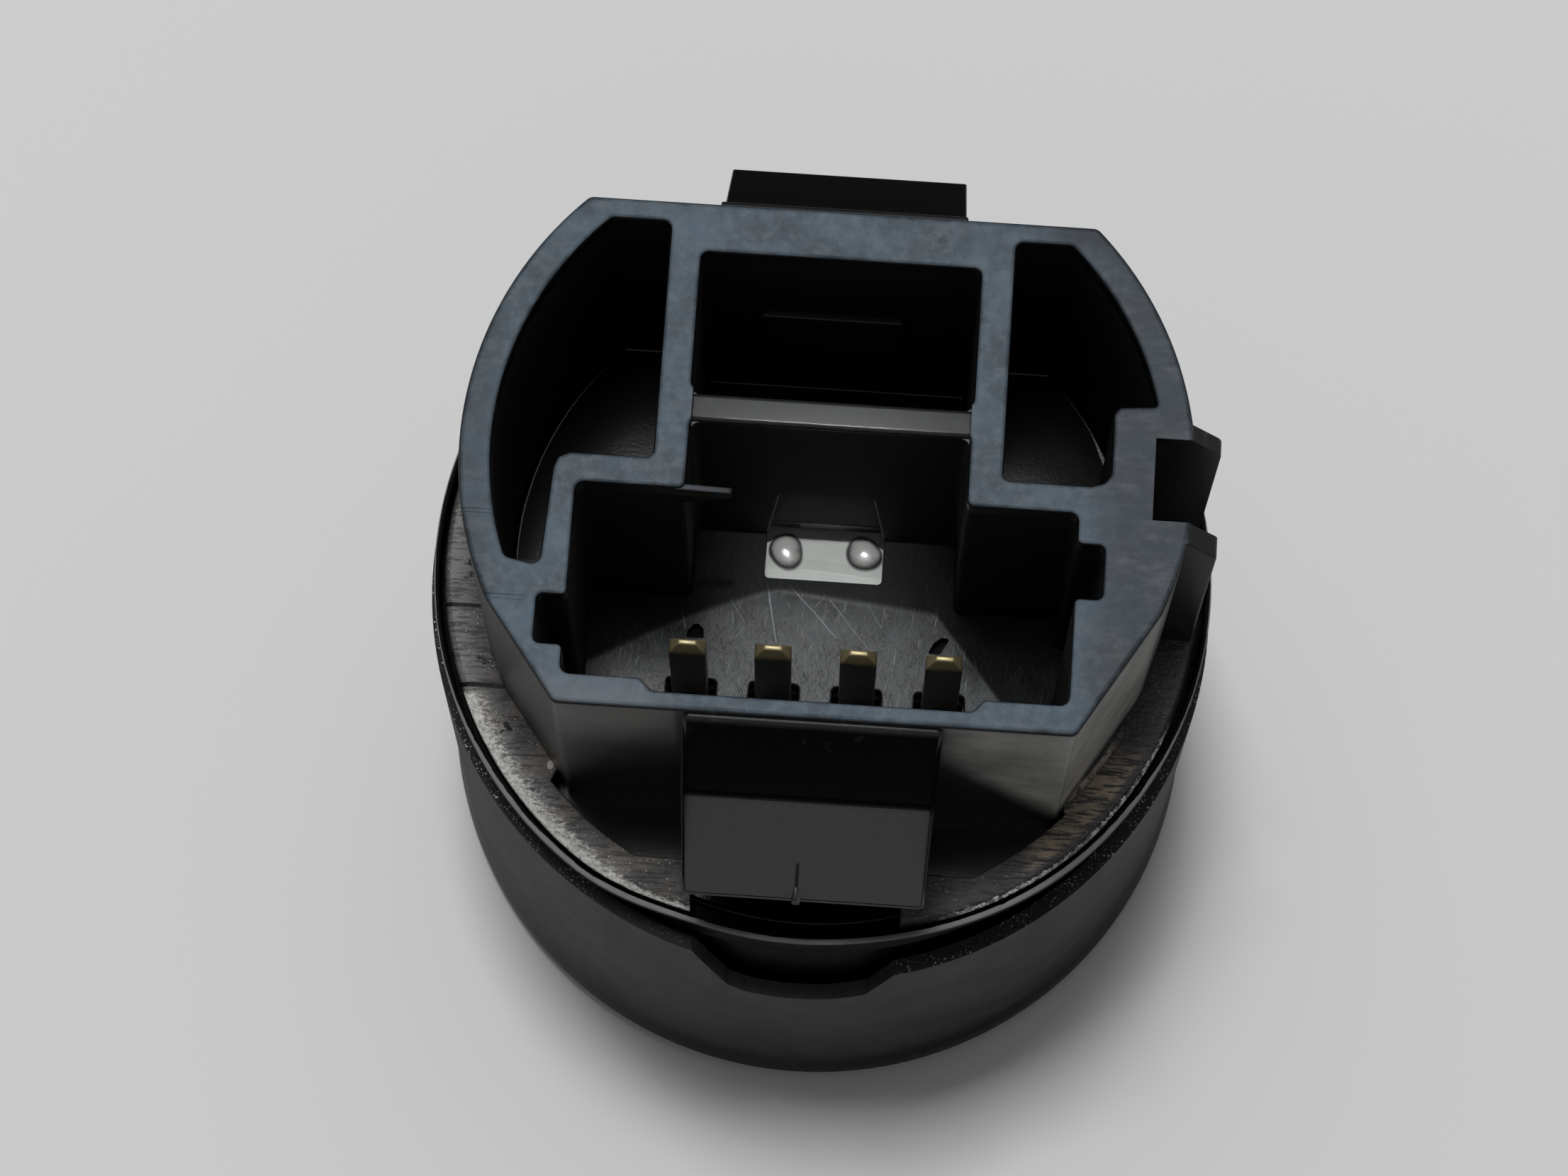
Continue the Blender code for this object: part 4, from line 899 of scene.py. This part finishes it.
def sleeve_finish():
    """Satin black moulding with soft vertical streaks; paler cloudy patches at the front are a painted highlight, the
    cut top edge is darker with painted glints, and the foot is painted shade.
    """
    mat, k = node_kit("sleeve_finish")
    cloud = k.noise(0.3, 4.0, 0.6)
    streak = k.noise(1.0, 3.0, 0.55, k.stretch(0.5, 0.5, 0.06))
    base = k.mix(k.ramp(cloud, 0.3, 0.7), (0.012, 0.012, 0.0118), (0.024, 0.0237, 0.0228))
    base = k.mix(k.ramp(streak, 0.46, 0.72, 0.0, 0.40), base, (0.060, 0.060, 0.058))
    # painted highlight: cloudy paler patches on the front
    base = k.mix(k.math("MULTIPLY", k.ramp(k.y, -5.0, -13.0), k.ramp(cloud, 0.40, 0.62, 0.25, 0.75)), base, (0.040, 0.0395, 0.038))
    top = k.math("MULTIPLY", k.ramp(k.nz, 0.5, 0.8), k.ramp(k.z, 20.6, 21.0))
    # painted glints: pale specks on the cut top edge
    speck_glints = k.math("MULTIPLY", k.ramp(k.noise(9.0, 2.0, 0.6), 0.60, 0.68), k.ramp(k.noise(1.1, 2.0, 0.5), 0.36, 0.60))
    speck_glints = k.math("MULTIPLY", speck_glints, k.ramp(k.math("ABSOLUTE", k.math("ADD", k.x, 6.6)), 1.6, 3.0, 0.15, 1.0))
    base = k.mix(top, base, (0.0065, 0.0065, 0.0070))
    colour = k.mix(k.math("MULTIPLY", top, speck_glints), base, (0.5, 0.5, 0.49))
    scrape = k.scratches(90, 5.0, 0.25, 0.66, 3)
    colour = k.mix(k.math("MULTIPLY", scrape, 0.25), colour, (0.05, 0.05, 0.05))
    # painted shade: the foot is painted near black
    foot = k.ramp(k.z, 4.6, 3.2)
    colour = k.mix(foot, colour, (0.0022, 0.0022, 0.0024))
    k.put(k.s.inputs["Base Color"], colour)
    rough = k.math("ADD", 0.30, k.math("MULTIPLY", k.noise(0.8, 5.0, 0.6), 0.14))
    rough = k.blend(k.ramp(streak, 0.52, 0.72), rough, 0.46)
    rough = k.blend(foot, rough, 0.18)
    k.put(k.s.inputs["Roughness"], k.blend(top, rough, 0.55))
    k.s.inputs["Specular IOR Level"].default_value = 0.38
    gate = k.ramp(k.math("ADD", k.math("POWER", k.math("SUBTRACT", k.x, -0.1), 2.0), k.math("MULTIPLY", k.math("POWER", k.math("SUBTRACT", k.z, 14.2), 2.0), 0.25)), 0.12, 0.01)
    gate = k.math("MULTIPLY", gate, k.ramp(k.y, -10.0, -14.0))
    height = k.math("ADD", k.math("MULTIPLY", k.noise(8.0, 3.0, 0.6), 0.26), k.math("MULTIPLY", k.math("MULTIPLY", top, k.noise(5.0, 4.0, 0.7)), 1.3))
    height = k.math("ADD", height, k.math("MULTIPLY", streak, 0.35))
    height = k.math("ADD", height, k.math("MULTIPLY", gate, 0.5))
    k.put(k.s.inputs["Normal"], k.bump(height, 0.5, 0.05))
    return mat


def body_finish():
    """Deep black moulding whose thin lip is painted as a grey line of highlight, narrow at the sides and full in front,
    with painted glints on the ledge.
    """
    mat, k = node_kit("body_finish")
    radius = k.math("SQRT", k.math("ADD", k.math("MULTIPLY", k.x, k.x), k.math("MULTIPLY", k.y, k.y)))
    flat = k.math("MULTIPLY", k.math("MULTIPLY", k.ramp(k.x, -9.6, -4.0), k.ramp(k.x, 12.5, 2.0)), k.ramp(k.y, 0.0, -1.0, 0.0, 0.45))
    inset = k.math("SUBTRACT", 16.4, k.math("ADD", radius, flat))
    width = k.math("MULTIPLY", k.ramp(k.y, -4.0, -12.0, 0.06, 0.22), k.ramp(k.noise(0.8, 3.0, 0.6), 0.3, 0.6, 0.8, 1.1))
    lip = k.math("MULTIPLY", k.ramp(k.z, 25.36, 25.44), k.math("LESS_THAN", inset, width))
    base = k.mix(k.noise(0.5, 4.0, 0.6), (0.0020, 0.0020, 0.0022), (0.0040, 0.0040, 0.0043))
    lip_highlight_tone = k.mix(k.noise(1.2, 4.0, 0.6), (0.105, 0.107, 0.110), (0.180, 0.182, 0.184))
    # painted glints on the ledge at the front, seen through the cut-out
    ledge = k.math("MULTIPLY", k.math("MULTIPLY", k.band(k.z, 24.3, 24.5, 0.03), k.ramp(k.nz, 0.6, 0.8)), k.math("MULTIPLY", k.band(k.x, -1.1, 2.4, 0.5), k.ramp(k.y, -15.0, -15.2)))
    glint = k.math("MULTIPLY", ledge, k.ramp(k.noise(2.2, 4.0, 0.7, k.stretch(0.8, 4.0, 1.0)), 0.50, 0.58))
    tone = k.mix(lip, base, lip_highlight_tone)
    k.put(k.s.inputs["Base Color"], k.mix(k.math("MULTIPLY", glint, k.ramp(k.x, 2.4, 0.2, 0.25, 1.0)), tone, (0.85, 0.80, 0.72)))
    k.s.inputs["Specular IOR Level"].default_value = 0.03
    rough = k.math("ADD", 0.34, k.math("MULTIPLY", k.noise(1.5, 4.0, 0.6), 0.12))
    k.put(k.s.inputs["Roughness"], k.blend(lip, rough, 0.46))
    k.put(k.s.inputs["Normal"], k.bump(k.noise(6.0, 3.0, 0.6), 0.35, 0.02))
    return mat


def blade_finish():
    """Tinned shank with a gold-coloured tip."""
    mat, k = node_kit("blade_finish")
    tip = k.ramp(k.math("ADD", k.z, k.math("MULTIPLY", k.math("SUBTRACT", k.noise(1.6, 3.0, 0.6), 0.5), 0.4)), 30.85, 31.2)
    shank = k.mix(k.noise(1.4, 4.0, 0.6), (0.10, 0.095, 0.080), (0.24, 0.225, 0.185))
    gold = k.mix(k.noise(2.2, 4.0, 0.6), (0.62, 0.50, 0.24), (0.86, 0.76, 0.46))
    k.put(k.s.inputs["Base Color"], k.mix(tip, shank, gold))
    k.s.inputs["Metallic"].default_value = 0.85
    lines = k.noise(1.0, 3.0, 0.6, k.stretch(6.0, 6.0, 0.7))
    k.put(k.s.inputs["Roughness"], k.math("ADD", 0.30, k.math("MULTIPLY", lines, 0.16)))
    k.put(k.s.inputs["Normal"], k.bump(lines, 0.3, 0.012))
    return mat


def board_finish():
    """White solder mask over laminate: faint weave, warm edges, a few copper traces showing through."""
    mat, k = node_kit("board_finish")
    cloud = k.noise(0.7, 4.0, 0.6)
    white = k.mix(cloud, (0.50, 0.53, 0.50), (0.64, 0.66, 0.63))
    side = k.ramp(k.math("ABSOLUTE", k.nz), 0.6, 0.3)
    grid = k.math("MULTIPLY", k.math("ADD", k.math("SINE", k.math("MULTIPLY", k.x, 9.0)), k.math("SINE", k.math("MULTIPLY", k.y, 9.0))), 0.25)
    trace = k.band(k.math("PINGPONG", k.math("ADD", k.y, k.math("MULTIPLY", k.noise(0.12, 1.0, 0.5), 3.0)), 1.6), 0.62, 0.98, 0.04)
    white = k.mix(k.math("MULTIPLY", trace, 0.35), white, (0.44, 0.50, 0.45))
    k.put(k.s.inputs["Base Color"], k.mix(side, white, (0.16, 0.145, 0.085)))
    k.put(k.s.inputs["Roughness"], k.math("ADD", 0.30, k.math("MULTIPLY", cloud, 0.16)))
    height = k.math("ADD", k.math("MULTIPLY", grid, 0.12), k.math("MULTIPLY", trace, 0.5))
    k.put(k.s.inputs["Normal"], k.bump(height, 0.4, 0.02))
    return mat


COVER = cover_finish()
SLEEVE = sleeve_finish()
BODY = body_finish()
BLADE = blade_finish()
BOARD = board_finish()
BEZEL, _ = black_plastic("bezel_finish", (0.012, 0.012, 0.013), 0.42, 0.03, 10.0)
CAP, _ = black_plastic("cap_finish", (0.013, 0.013, 0.014), 0.46, 0.035, 7.0)
HOUSING, _ = black_plastic("contact_housing_finish", (0.026, 0.026, 0.028), 0.50, 0.03, 9.0)
CHIP, _ = black_plastic("chip_finish", (0.020, 0.020, 0.022), 0.30, 0.01, 12.0)
PLUNGER, _ = moulded("plunger_finish", (0.66, 0.63, 0.54), 0.42, 0.08)
LAMP, _ = moulded("lamp_finish", (0.74, 0.64, 0.34), 0.28, 0.10)
TUNNEL, _ = moulded("tunnel_finish", (0.74, 0.74, 0.73), 0.50, 0.05)
CAPACITOR, _ = moulded("capacitor_finish", (0.34, 0.22, 0.13), 0.38, 0.18)
LENS, _ = moulded("lens_finish", (0.56, 0.58, 0.565), 0.20, 0.04, 5.0, 0.006, 0.25)
DIFFUSER, _ = moulded("diffuser_finish", (0.72, 0.72, 0.70), 0.50, 0.04, 12.0, 0.02, 0.25)
SLIDER, _ = moulded("slider_finish", (0.66, 0.65, 0.61), 0.46, 0.07)
SOLDER, solder_kit = metal("solder_finish", (0.93, 0.93, 0.92), 0.24)
solder_kit.s.inputs["Metallic"].default_value = 0.5
# painted highlight and shade: the solder's top is painted white and its sides near black
crown_highlight = solder_kit.ramp(solder_kit.math("ADD", solder_kit.nz, solder_kit.math("MULTIPLY", solder_kit.math("SUBTRACT", solder_kit.noise(1.3, 2.0, 0.5), 0.5), 0.5)), 0.55, 0.93)
solder_kit.put(solder_kit.s.inputs["Base Color"], solder_kit.mix(crown_highlight, (0.10, 0.10, 0.098), (1.0, 1.0, 0.98)))
solder_kit.put(solder_kit.s.inputs["Roughness"], solder_kit.math("ADD", 0.14, solder_kit.math("MULTIPLY", solder_kit.noise(1.2, 2.0, 0.5), 0.14)))
solder_kit.put(solder_kit.s.inputs["Normal"], solder_kit.bump(solder_kit.noise(1.6, 2.0, 0.5), 0.30, 0.05))
PLATE, _ = metal("contact_plate_finish", (0.60, 0.60, 0.59), 0.26, 0.0, True)
WIRE, _ = metal("spring_finish", (0.56, 0.56, 0.57), 0.24)


# ------------------------------------------------------------------ assembly
made = []


def place(obj, body):
    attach(obj, body)
    made.append(obj)
    return obj


place(build_cover(COVER), "switch_body")
place(build_sleeve(SLEEVE), "switch_body")
place(build_body(BODY), "switch_body")
place(build_bezel(BEZEL), "switch_body")
for n, x in enumerate(BLADE_X, 1):
    place(build_blade(n, x, BLADE), "switch_body")
place(build_solder("left", -1.65, 1.8, SOLDER, 5), "switch_body")
place(build_solder("right", 1.68, 1.9, SOLDER, 9), "switch_body")
for word, side in (("left", -1), ("right", 1)):
    place(build_spring(word, side * 8.4, WIRE), "switch_body")


def build_inside():
    board = revolve("circuit_board_fine", [(0, 20.6), (14.33, 20.6), (14.4, 20.67), (14.4, 22.13), (14.33, 22.2), (0, 22.2)], ROUND)
    for x in BLADE_X:
        cut(board, box("hole", x - 1.05, x + 1.05, BLADE_Y - 0.62, BLADE_Y + 0.62, 19.6, 23.2))
    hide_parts("circuit_board")
    place(shade(board, BOARD, 34), "switch_body")
    for word, side in (("left", -1), ("right", 1)):
        cx = side * 8.4
        square = [(cx - 3, -0.2), (cx + 3, -0.2), (cx + 3, 5.8), (cx - 3, 5.8)]
        housing = slab(f"contact_housing_fine_{word}", corners(square, 0.35, 5), "z", 17.2, 20.3, 0.12, 3)
        cut(housing, revolve("bore", [(0, 16.0), (2.5, 16.0), (2.5, 19.7), (0, 19.7)], 64, (cx, 2.8)))
        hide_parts(f"contact_housing_{word}")
        place(shade(housing, HOUSING, 34), "switch_body")
        square = [(cx - 2.9, -0.1), (cx + 2.9, -0.1), (cx + 2.9, 5.7), (cx - 2.9, 5.7)]
        plate = slab(f"contact_cover_fine_{word}", corners(square, 0.4, 5), "z", 16.5, 16.9, 0.06, 2)
        cut(plate, revolve("bore", [(0, 15.0), (2.0, 15.0), (2.0, 18.0), (0, 18.0)], 64, (cx, 2.8)))
        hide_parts(f"contact_cover_{word}")
        place(shade(plate, PLATE, 34), "switch_body")
        plunger = turned(f"contact_plunger_fine_{word}", [(0, 15.4)] + quarter(1.5, 15.6, 0.2, 270, 360) + [(1.7, 17.14), (1.76, 17.2), (2.12, 17.2), (2.2, 17.28), (2.2, 17.82), (2.12, 17.9), (0, 17.9)], 64, PLUNGER, f"contact_plunger_{word}", (cx, 2.8))
        place(plunger, f"plunger_{word}")
        lx = side * 2.1
        square = [(lx - 1.5, -1.4), (lx + 1.5, -1.4), (lx + 1.5, 1.4), (lx - 1.5, 1.4)]
        lamp = slab(f"lamp_fine_{word}", corners(square, 0.2, 4), "z", 18.5, 20.3, 0.08, 3)
        cut(lamp, revolve("bowl", [(0, 18.9), (0.9, 18.9), (1.15, 18.0), (0, 18.0)], 48, (lx, 0)))
        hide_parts(f"lamp_{word}")
        place(shade(lamp, LAMP, 34), "switch_body")
    for n, x in enumerate((-4.2, 0.0, 4.2), 1):
        chip = slab(f"resistor_fine_{n}", corners([(x - 1.0, -9.6), (x + 1.0, -9.6), (x + 1.0, -8.35), (x - 1.0, -8.35)], 0.05, 2), "z", 19.75, 20.3, 0.05, 2)
        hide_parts(f"resistor_{n}")
        place(shade(chip, CHIP, 34), "switch_body")
    chip = slab("capacitor_fine_1", corners([(-1.6, 8.2), (1.6, 8.2), (1.6, 9.8), (-1.6, 9.8)], 0.12, 3), "z", 18.8, 20.3, 0.1, 3)
    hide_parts("capacitor_1")
    place(shade(chip, CAPACITOR, 34), "switch_body")
    tube = [(4.0, 8.1), (4.1, 8.0), (4.7, 8.0), (4.8, 8.1), (4.8, 11.75), (4.85, 11.8), (5.62, 11.8), (5.7, 11.88), (5.7, 12.42), (5.62, 12.5),
            (4.85, 12.5), (4.8, 12.55), (4.8, 18.0), (4.7, 18.1), (4.1, 18.1), (4.0, 18.0)]
    place(turned("light_tunnel_fine", tube, 112, TUNNEL, "light_tunnel"), "switch_body")


def build_button():
    cap = [(9.0, 0.62)] + quarter(9.12, 0.62, 0.12, 180, 270) + quarter(12.5, 1.0, 0.5, 270, 360, 7) + [(13.0, 7.1), (13.1, 7.2), (13.8, 7.2), (13.9, 7.3), (13.9, 8.4), (13.8, 8.5), (11.9, 8.5), (11.8, 8.4), (11.8, 2.15), (11.65, 2.0), (9.0, 2.0)]
    place(turned("button_cap_fine", cap, ROUND, CAP, "button_cap"), "button")
    lens = [(0, 0.5), (8.45, 0.5), (8.6, 0.54), (8.68, 0.62), (8.7, 0.75), (8.7, 2.3), (10.32, 2.3), (10.4, 2.38), (10.4, 2.92), (10.32, 3.0), (0, 3.0)]
    place(turned("button_lens_fine", lens, ROUND, LENS, "button_lens"), "button")
    disc = [(0, 3.3), (11.32, 3.3), (11.4, 3.38), (11.4, 4.02), (11.32, 4.1), (0, 4.1)]
    place(turned("light_diffuser_fine", disc, ROUND, DIFFUSER, "light_diffuser"), "button")
    slider = revolve("button_slider_fine", [(5.0, 4.5), (5.1, 4.4), (11.3, 4.4), (11.4, 4.5), (11.4, 5.8), (11.3, 5.9), (5.1, 5.9), (5.0, 5.8)], 128)
    add(slider, *[revolve("post", [(0, 5.1), (1.6, 5.1), (1.6, 14.75), (1.52, 14.92), (1.3, 15.06), (1.15, 15.1), (0, 15.1)], 48, (s * 8.4, 2.8)) for s in (-1, 1)])
    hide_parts("button_slider")
    place(shade(slider, SLIDER, 34), "button")


build_inside()
build_button()
for obj in made:
    if obj.name.startswith("return_spring"):
        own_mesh(obj)


# ------------------------------------------------------------------ floor, light and camera
def floor_finish():
    mat, k = node_kit("floor_finish")
    tone = k.mix(k.noise(0.012, 3.0, 0.5), (0.545, 0.548, 0.550), (0.575, 0.575, 0.572))
    k.put(k.s.inputs["Base Color"], tone)
    k.put(k.s.inputs["Roughness"], k.math("ADD", 0.62, k.math("MULTIPLY", k.noise(0.05, 3.0, 0.5), 0.1)))
    k.s.inputs["Specular IOR Level"].default_value = 0.2
    k.put(k.s.inputs["Normal"], k.bump(k.noise(1.2, 4.0, 0.6), 0.12, 0.02))
    return mat


def card(name, x0, x1, y0, y1, z, colour):
    obj = link_mesh(name, [(x0, y0, z), (x1, y0, z), (x1, y1, z), (x0, y1, z)], [[0, 1, 2, 3]])
    mat, k = node_kit(name + "_finish")
    k.s.inputs["Base Color"].default_value = (*colour, 1.0)
    k.s.inputs["Roughness"].default_value = 0.9
    k.s.inputs["Specular IOR Level"].default_value = 0.0
    obj.data.materials.append(mat)
    return obj


floor = link_mesh("floor", [(-3000, -3000, 0), (3000, -3000, 0), (3000, 3000, 0), (-3000, 3000, 0)], [[0, 1, 2, 3]])
floor.data.materials.append(floor_finish())
# cards seen only in reflections: near-black sheets in front and behind, and a grey one round the object whose dark tone
# is a painted shade for the shaded floor there
for name, x0, x1, y0, y1, tone in (("flag_front", -400, 400, -600, -50, 0.008), ("flag_near", -400, 400, -50, 58, 0.20), ("flag_back", -400, 400, 58, 600, 0.008)):
    flag = card(name, x0, x1, y0, y1, 0.4, (tone, tone, tone))
    flag.visible_camera = False
    flag.visible_diffuse = False
    flag.visible_shadow = False
    flag.visible_transmission = False


def softbox(name, place_at, aim, size_x, size_y, radiance, colour):
    light = bpy.data.lights.new(name, "AREA")
    light.shape = "RECTANGLE"
    light.size, light.size_y = size_x, size_y
    light.energy = radiance * math.pi * size_x * size_y
    light.color = colour
    obj = bpy.data.objects.new(name, light)
    scene.collection.objects.link(obj)
    obj.location = place_at
    obj.rotation_mode = "QUATERNION"
    obj.rotation_quaternion = (Vector(aim) - Vector(place_at)).to_track_quat("-Z", "Y")
    return obj


softbox("softbox_back", (-0.05, 0.20, 0.60), (0.0, 0.0, 0.02), 0.50, 0.40, 1.30, (0.95, 0.98, 1.0))
key = softbox("softbox_key", (-0.055, 0.115, 0.85), (0.0, 0.0, 0.02), 0.15, 0.15, 67.0, (1.0, 0.995, 0.985))
key.visible_glossy = False
softbox("softbox_glint", (-0.065, 0.115, 0.85), (0.0, 0.0, 0.02), 0.15, 0.15, 6.0, (1.0, 0.995, 0.985))

accent = bpy.data.lights.new("accent", "SPOT")
accent.energy, accent.spot_size, accent.spot_blend, accent.shadow_soft_size = 3.5, math.radians(1.3), 0.7, 0.004
accent_at = bpy.data.objects.new("accent", accent)
scene.collection.objects.link(accent_at)
accent_at.location = (0.0, -0.008, 0.25)
accent_at.rotation_mode = "QUATERNION"
accent_at.rotation_quaternion = (Vector((0.0, 0.0013, 0.0222)) - Vector((0.0, -0.008, 0.25))).to_track_quat("-Z", "Y")

world = bpy.data.worlds.new("studio")
scene.world = world
world.use_nodes = True
world.node_tree.nodes["Background"].inputs["Color"].default_value = (0.985, 0.99, 1.0, 1.0)
world.node_tree.nodes["Background"].inputs["Strength"].default_value = 0.22

LENS_MM, AZ, EL, ROLL, DIST, TARGET = 108.14, 3.6205, 74.001, 0.2545, 197.54, Vector((-1.571, -1.015, 26.4))
a, e, r = math.radians(AZ), math.radians(EL), math.radians(ROLL)
back = Vector((math.sin(a) * math.cos(e), -math.cos(a) * math.cos(e), math.sin(e)))
right0 = (-back).cross(Vector((0, 0, 1))).normalized()
up0 = right0.cross(-back)
right = right0 * math.cos(r) + up0 * math.sin(r)
up = -right0 * math.sin(r) + up0 * math.cos(r)
camera = bpy.data.cameras.new("camera")
camera.lens, camera.sensor_width = LENS_MM, 36.0
camera.clip_start, camera.clip_end = 0.01, 10.0
eye = bpy.data.objects.new("camera", camera)
scene.collection.objects.link(eye)
eye.rotation_mode = "QUATERNION"
eye.location = (TARGET + back * DIST) * MM
basis = Matrix((right, up, back)).transposed()
eye.rotation_quaternion = basis.to_quaternion()
scene.camera = eye
scene.view_settings.view_transform = "Standard"
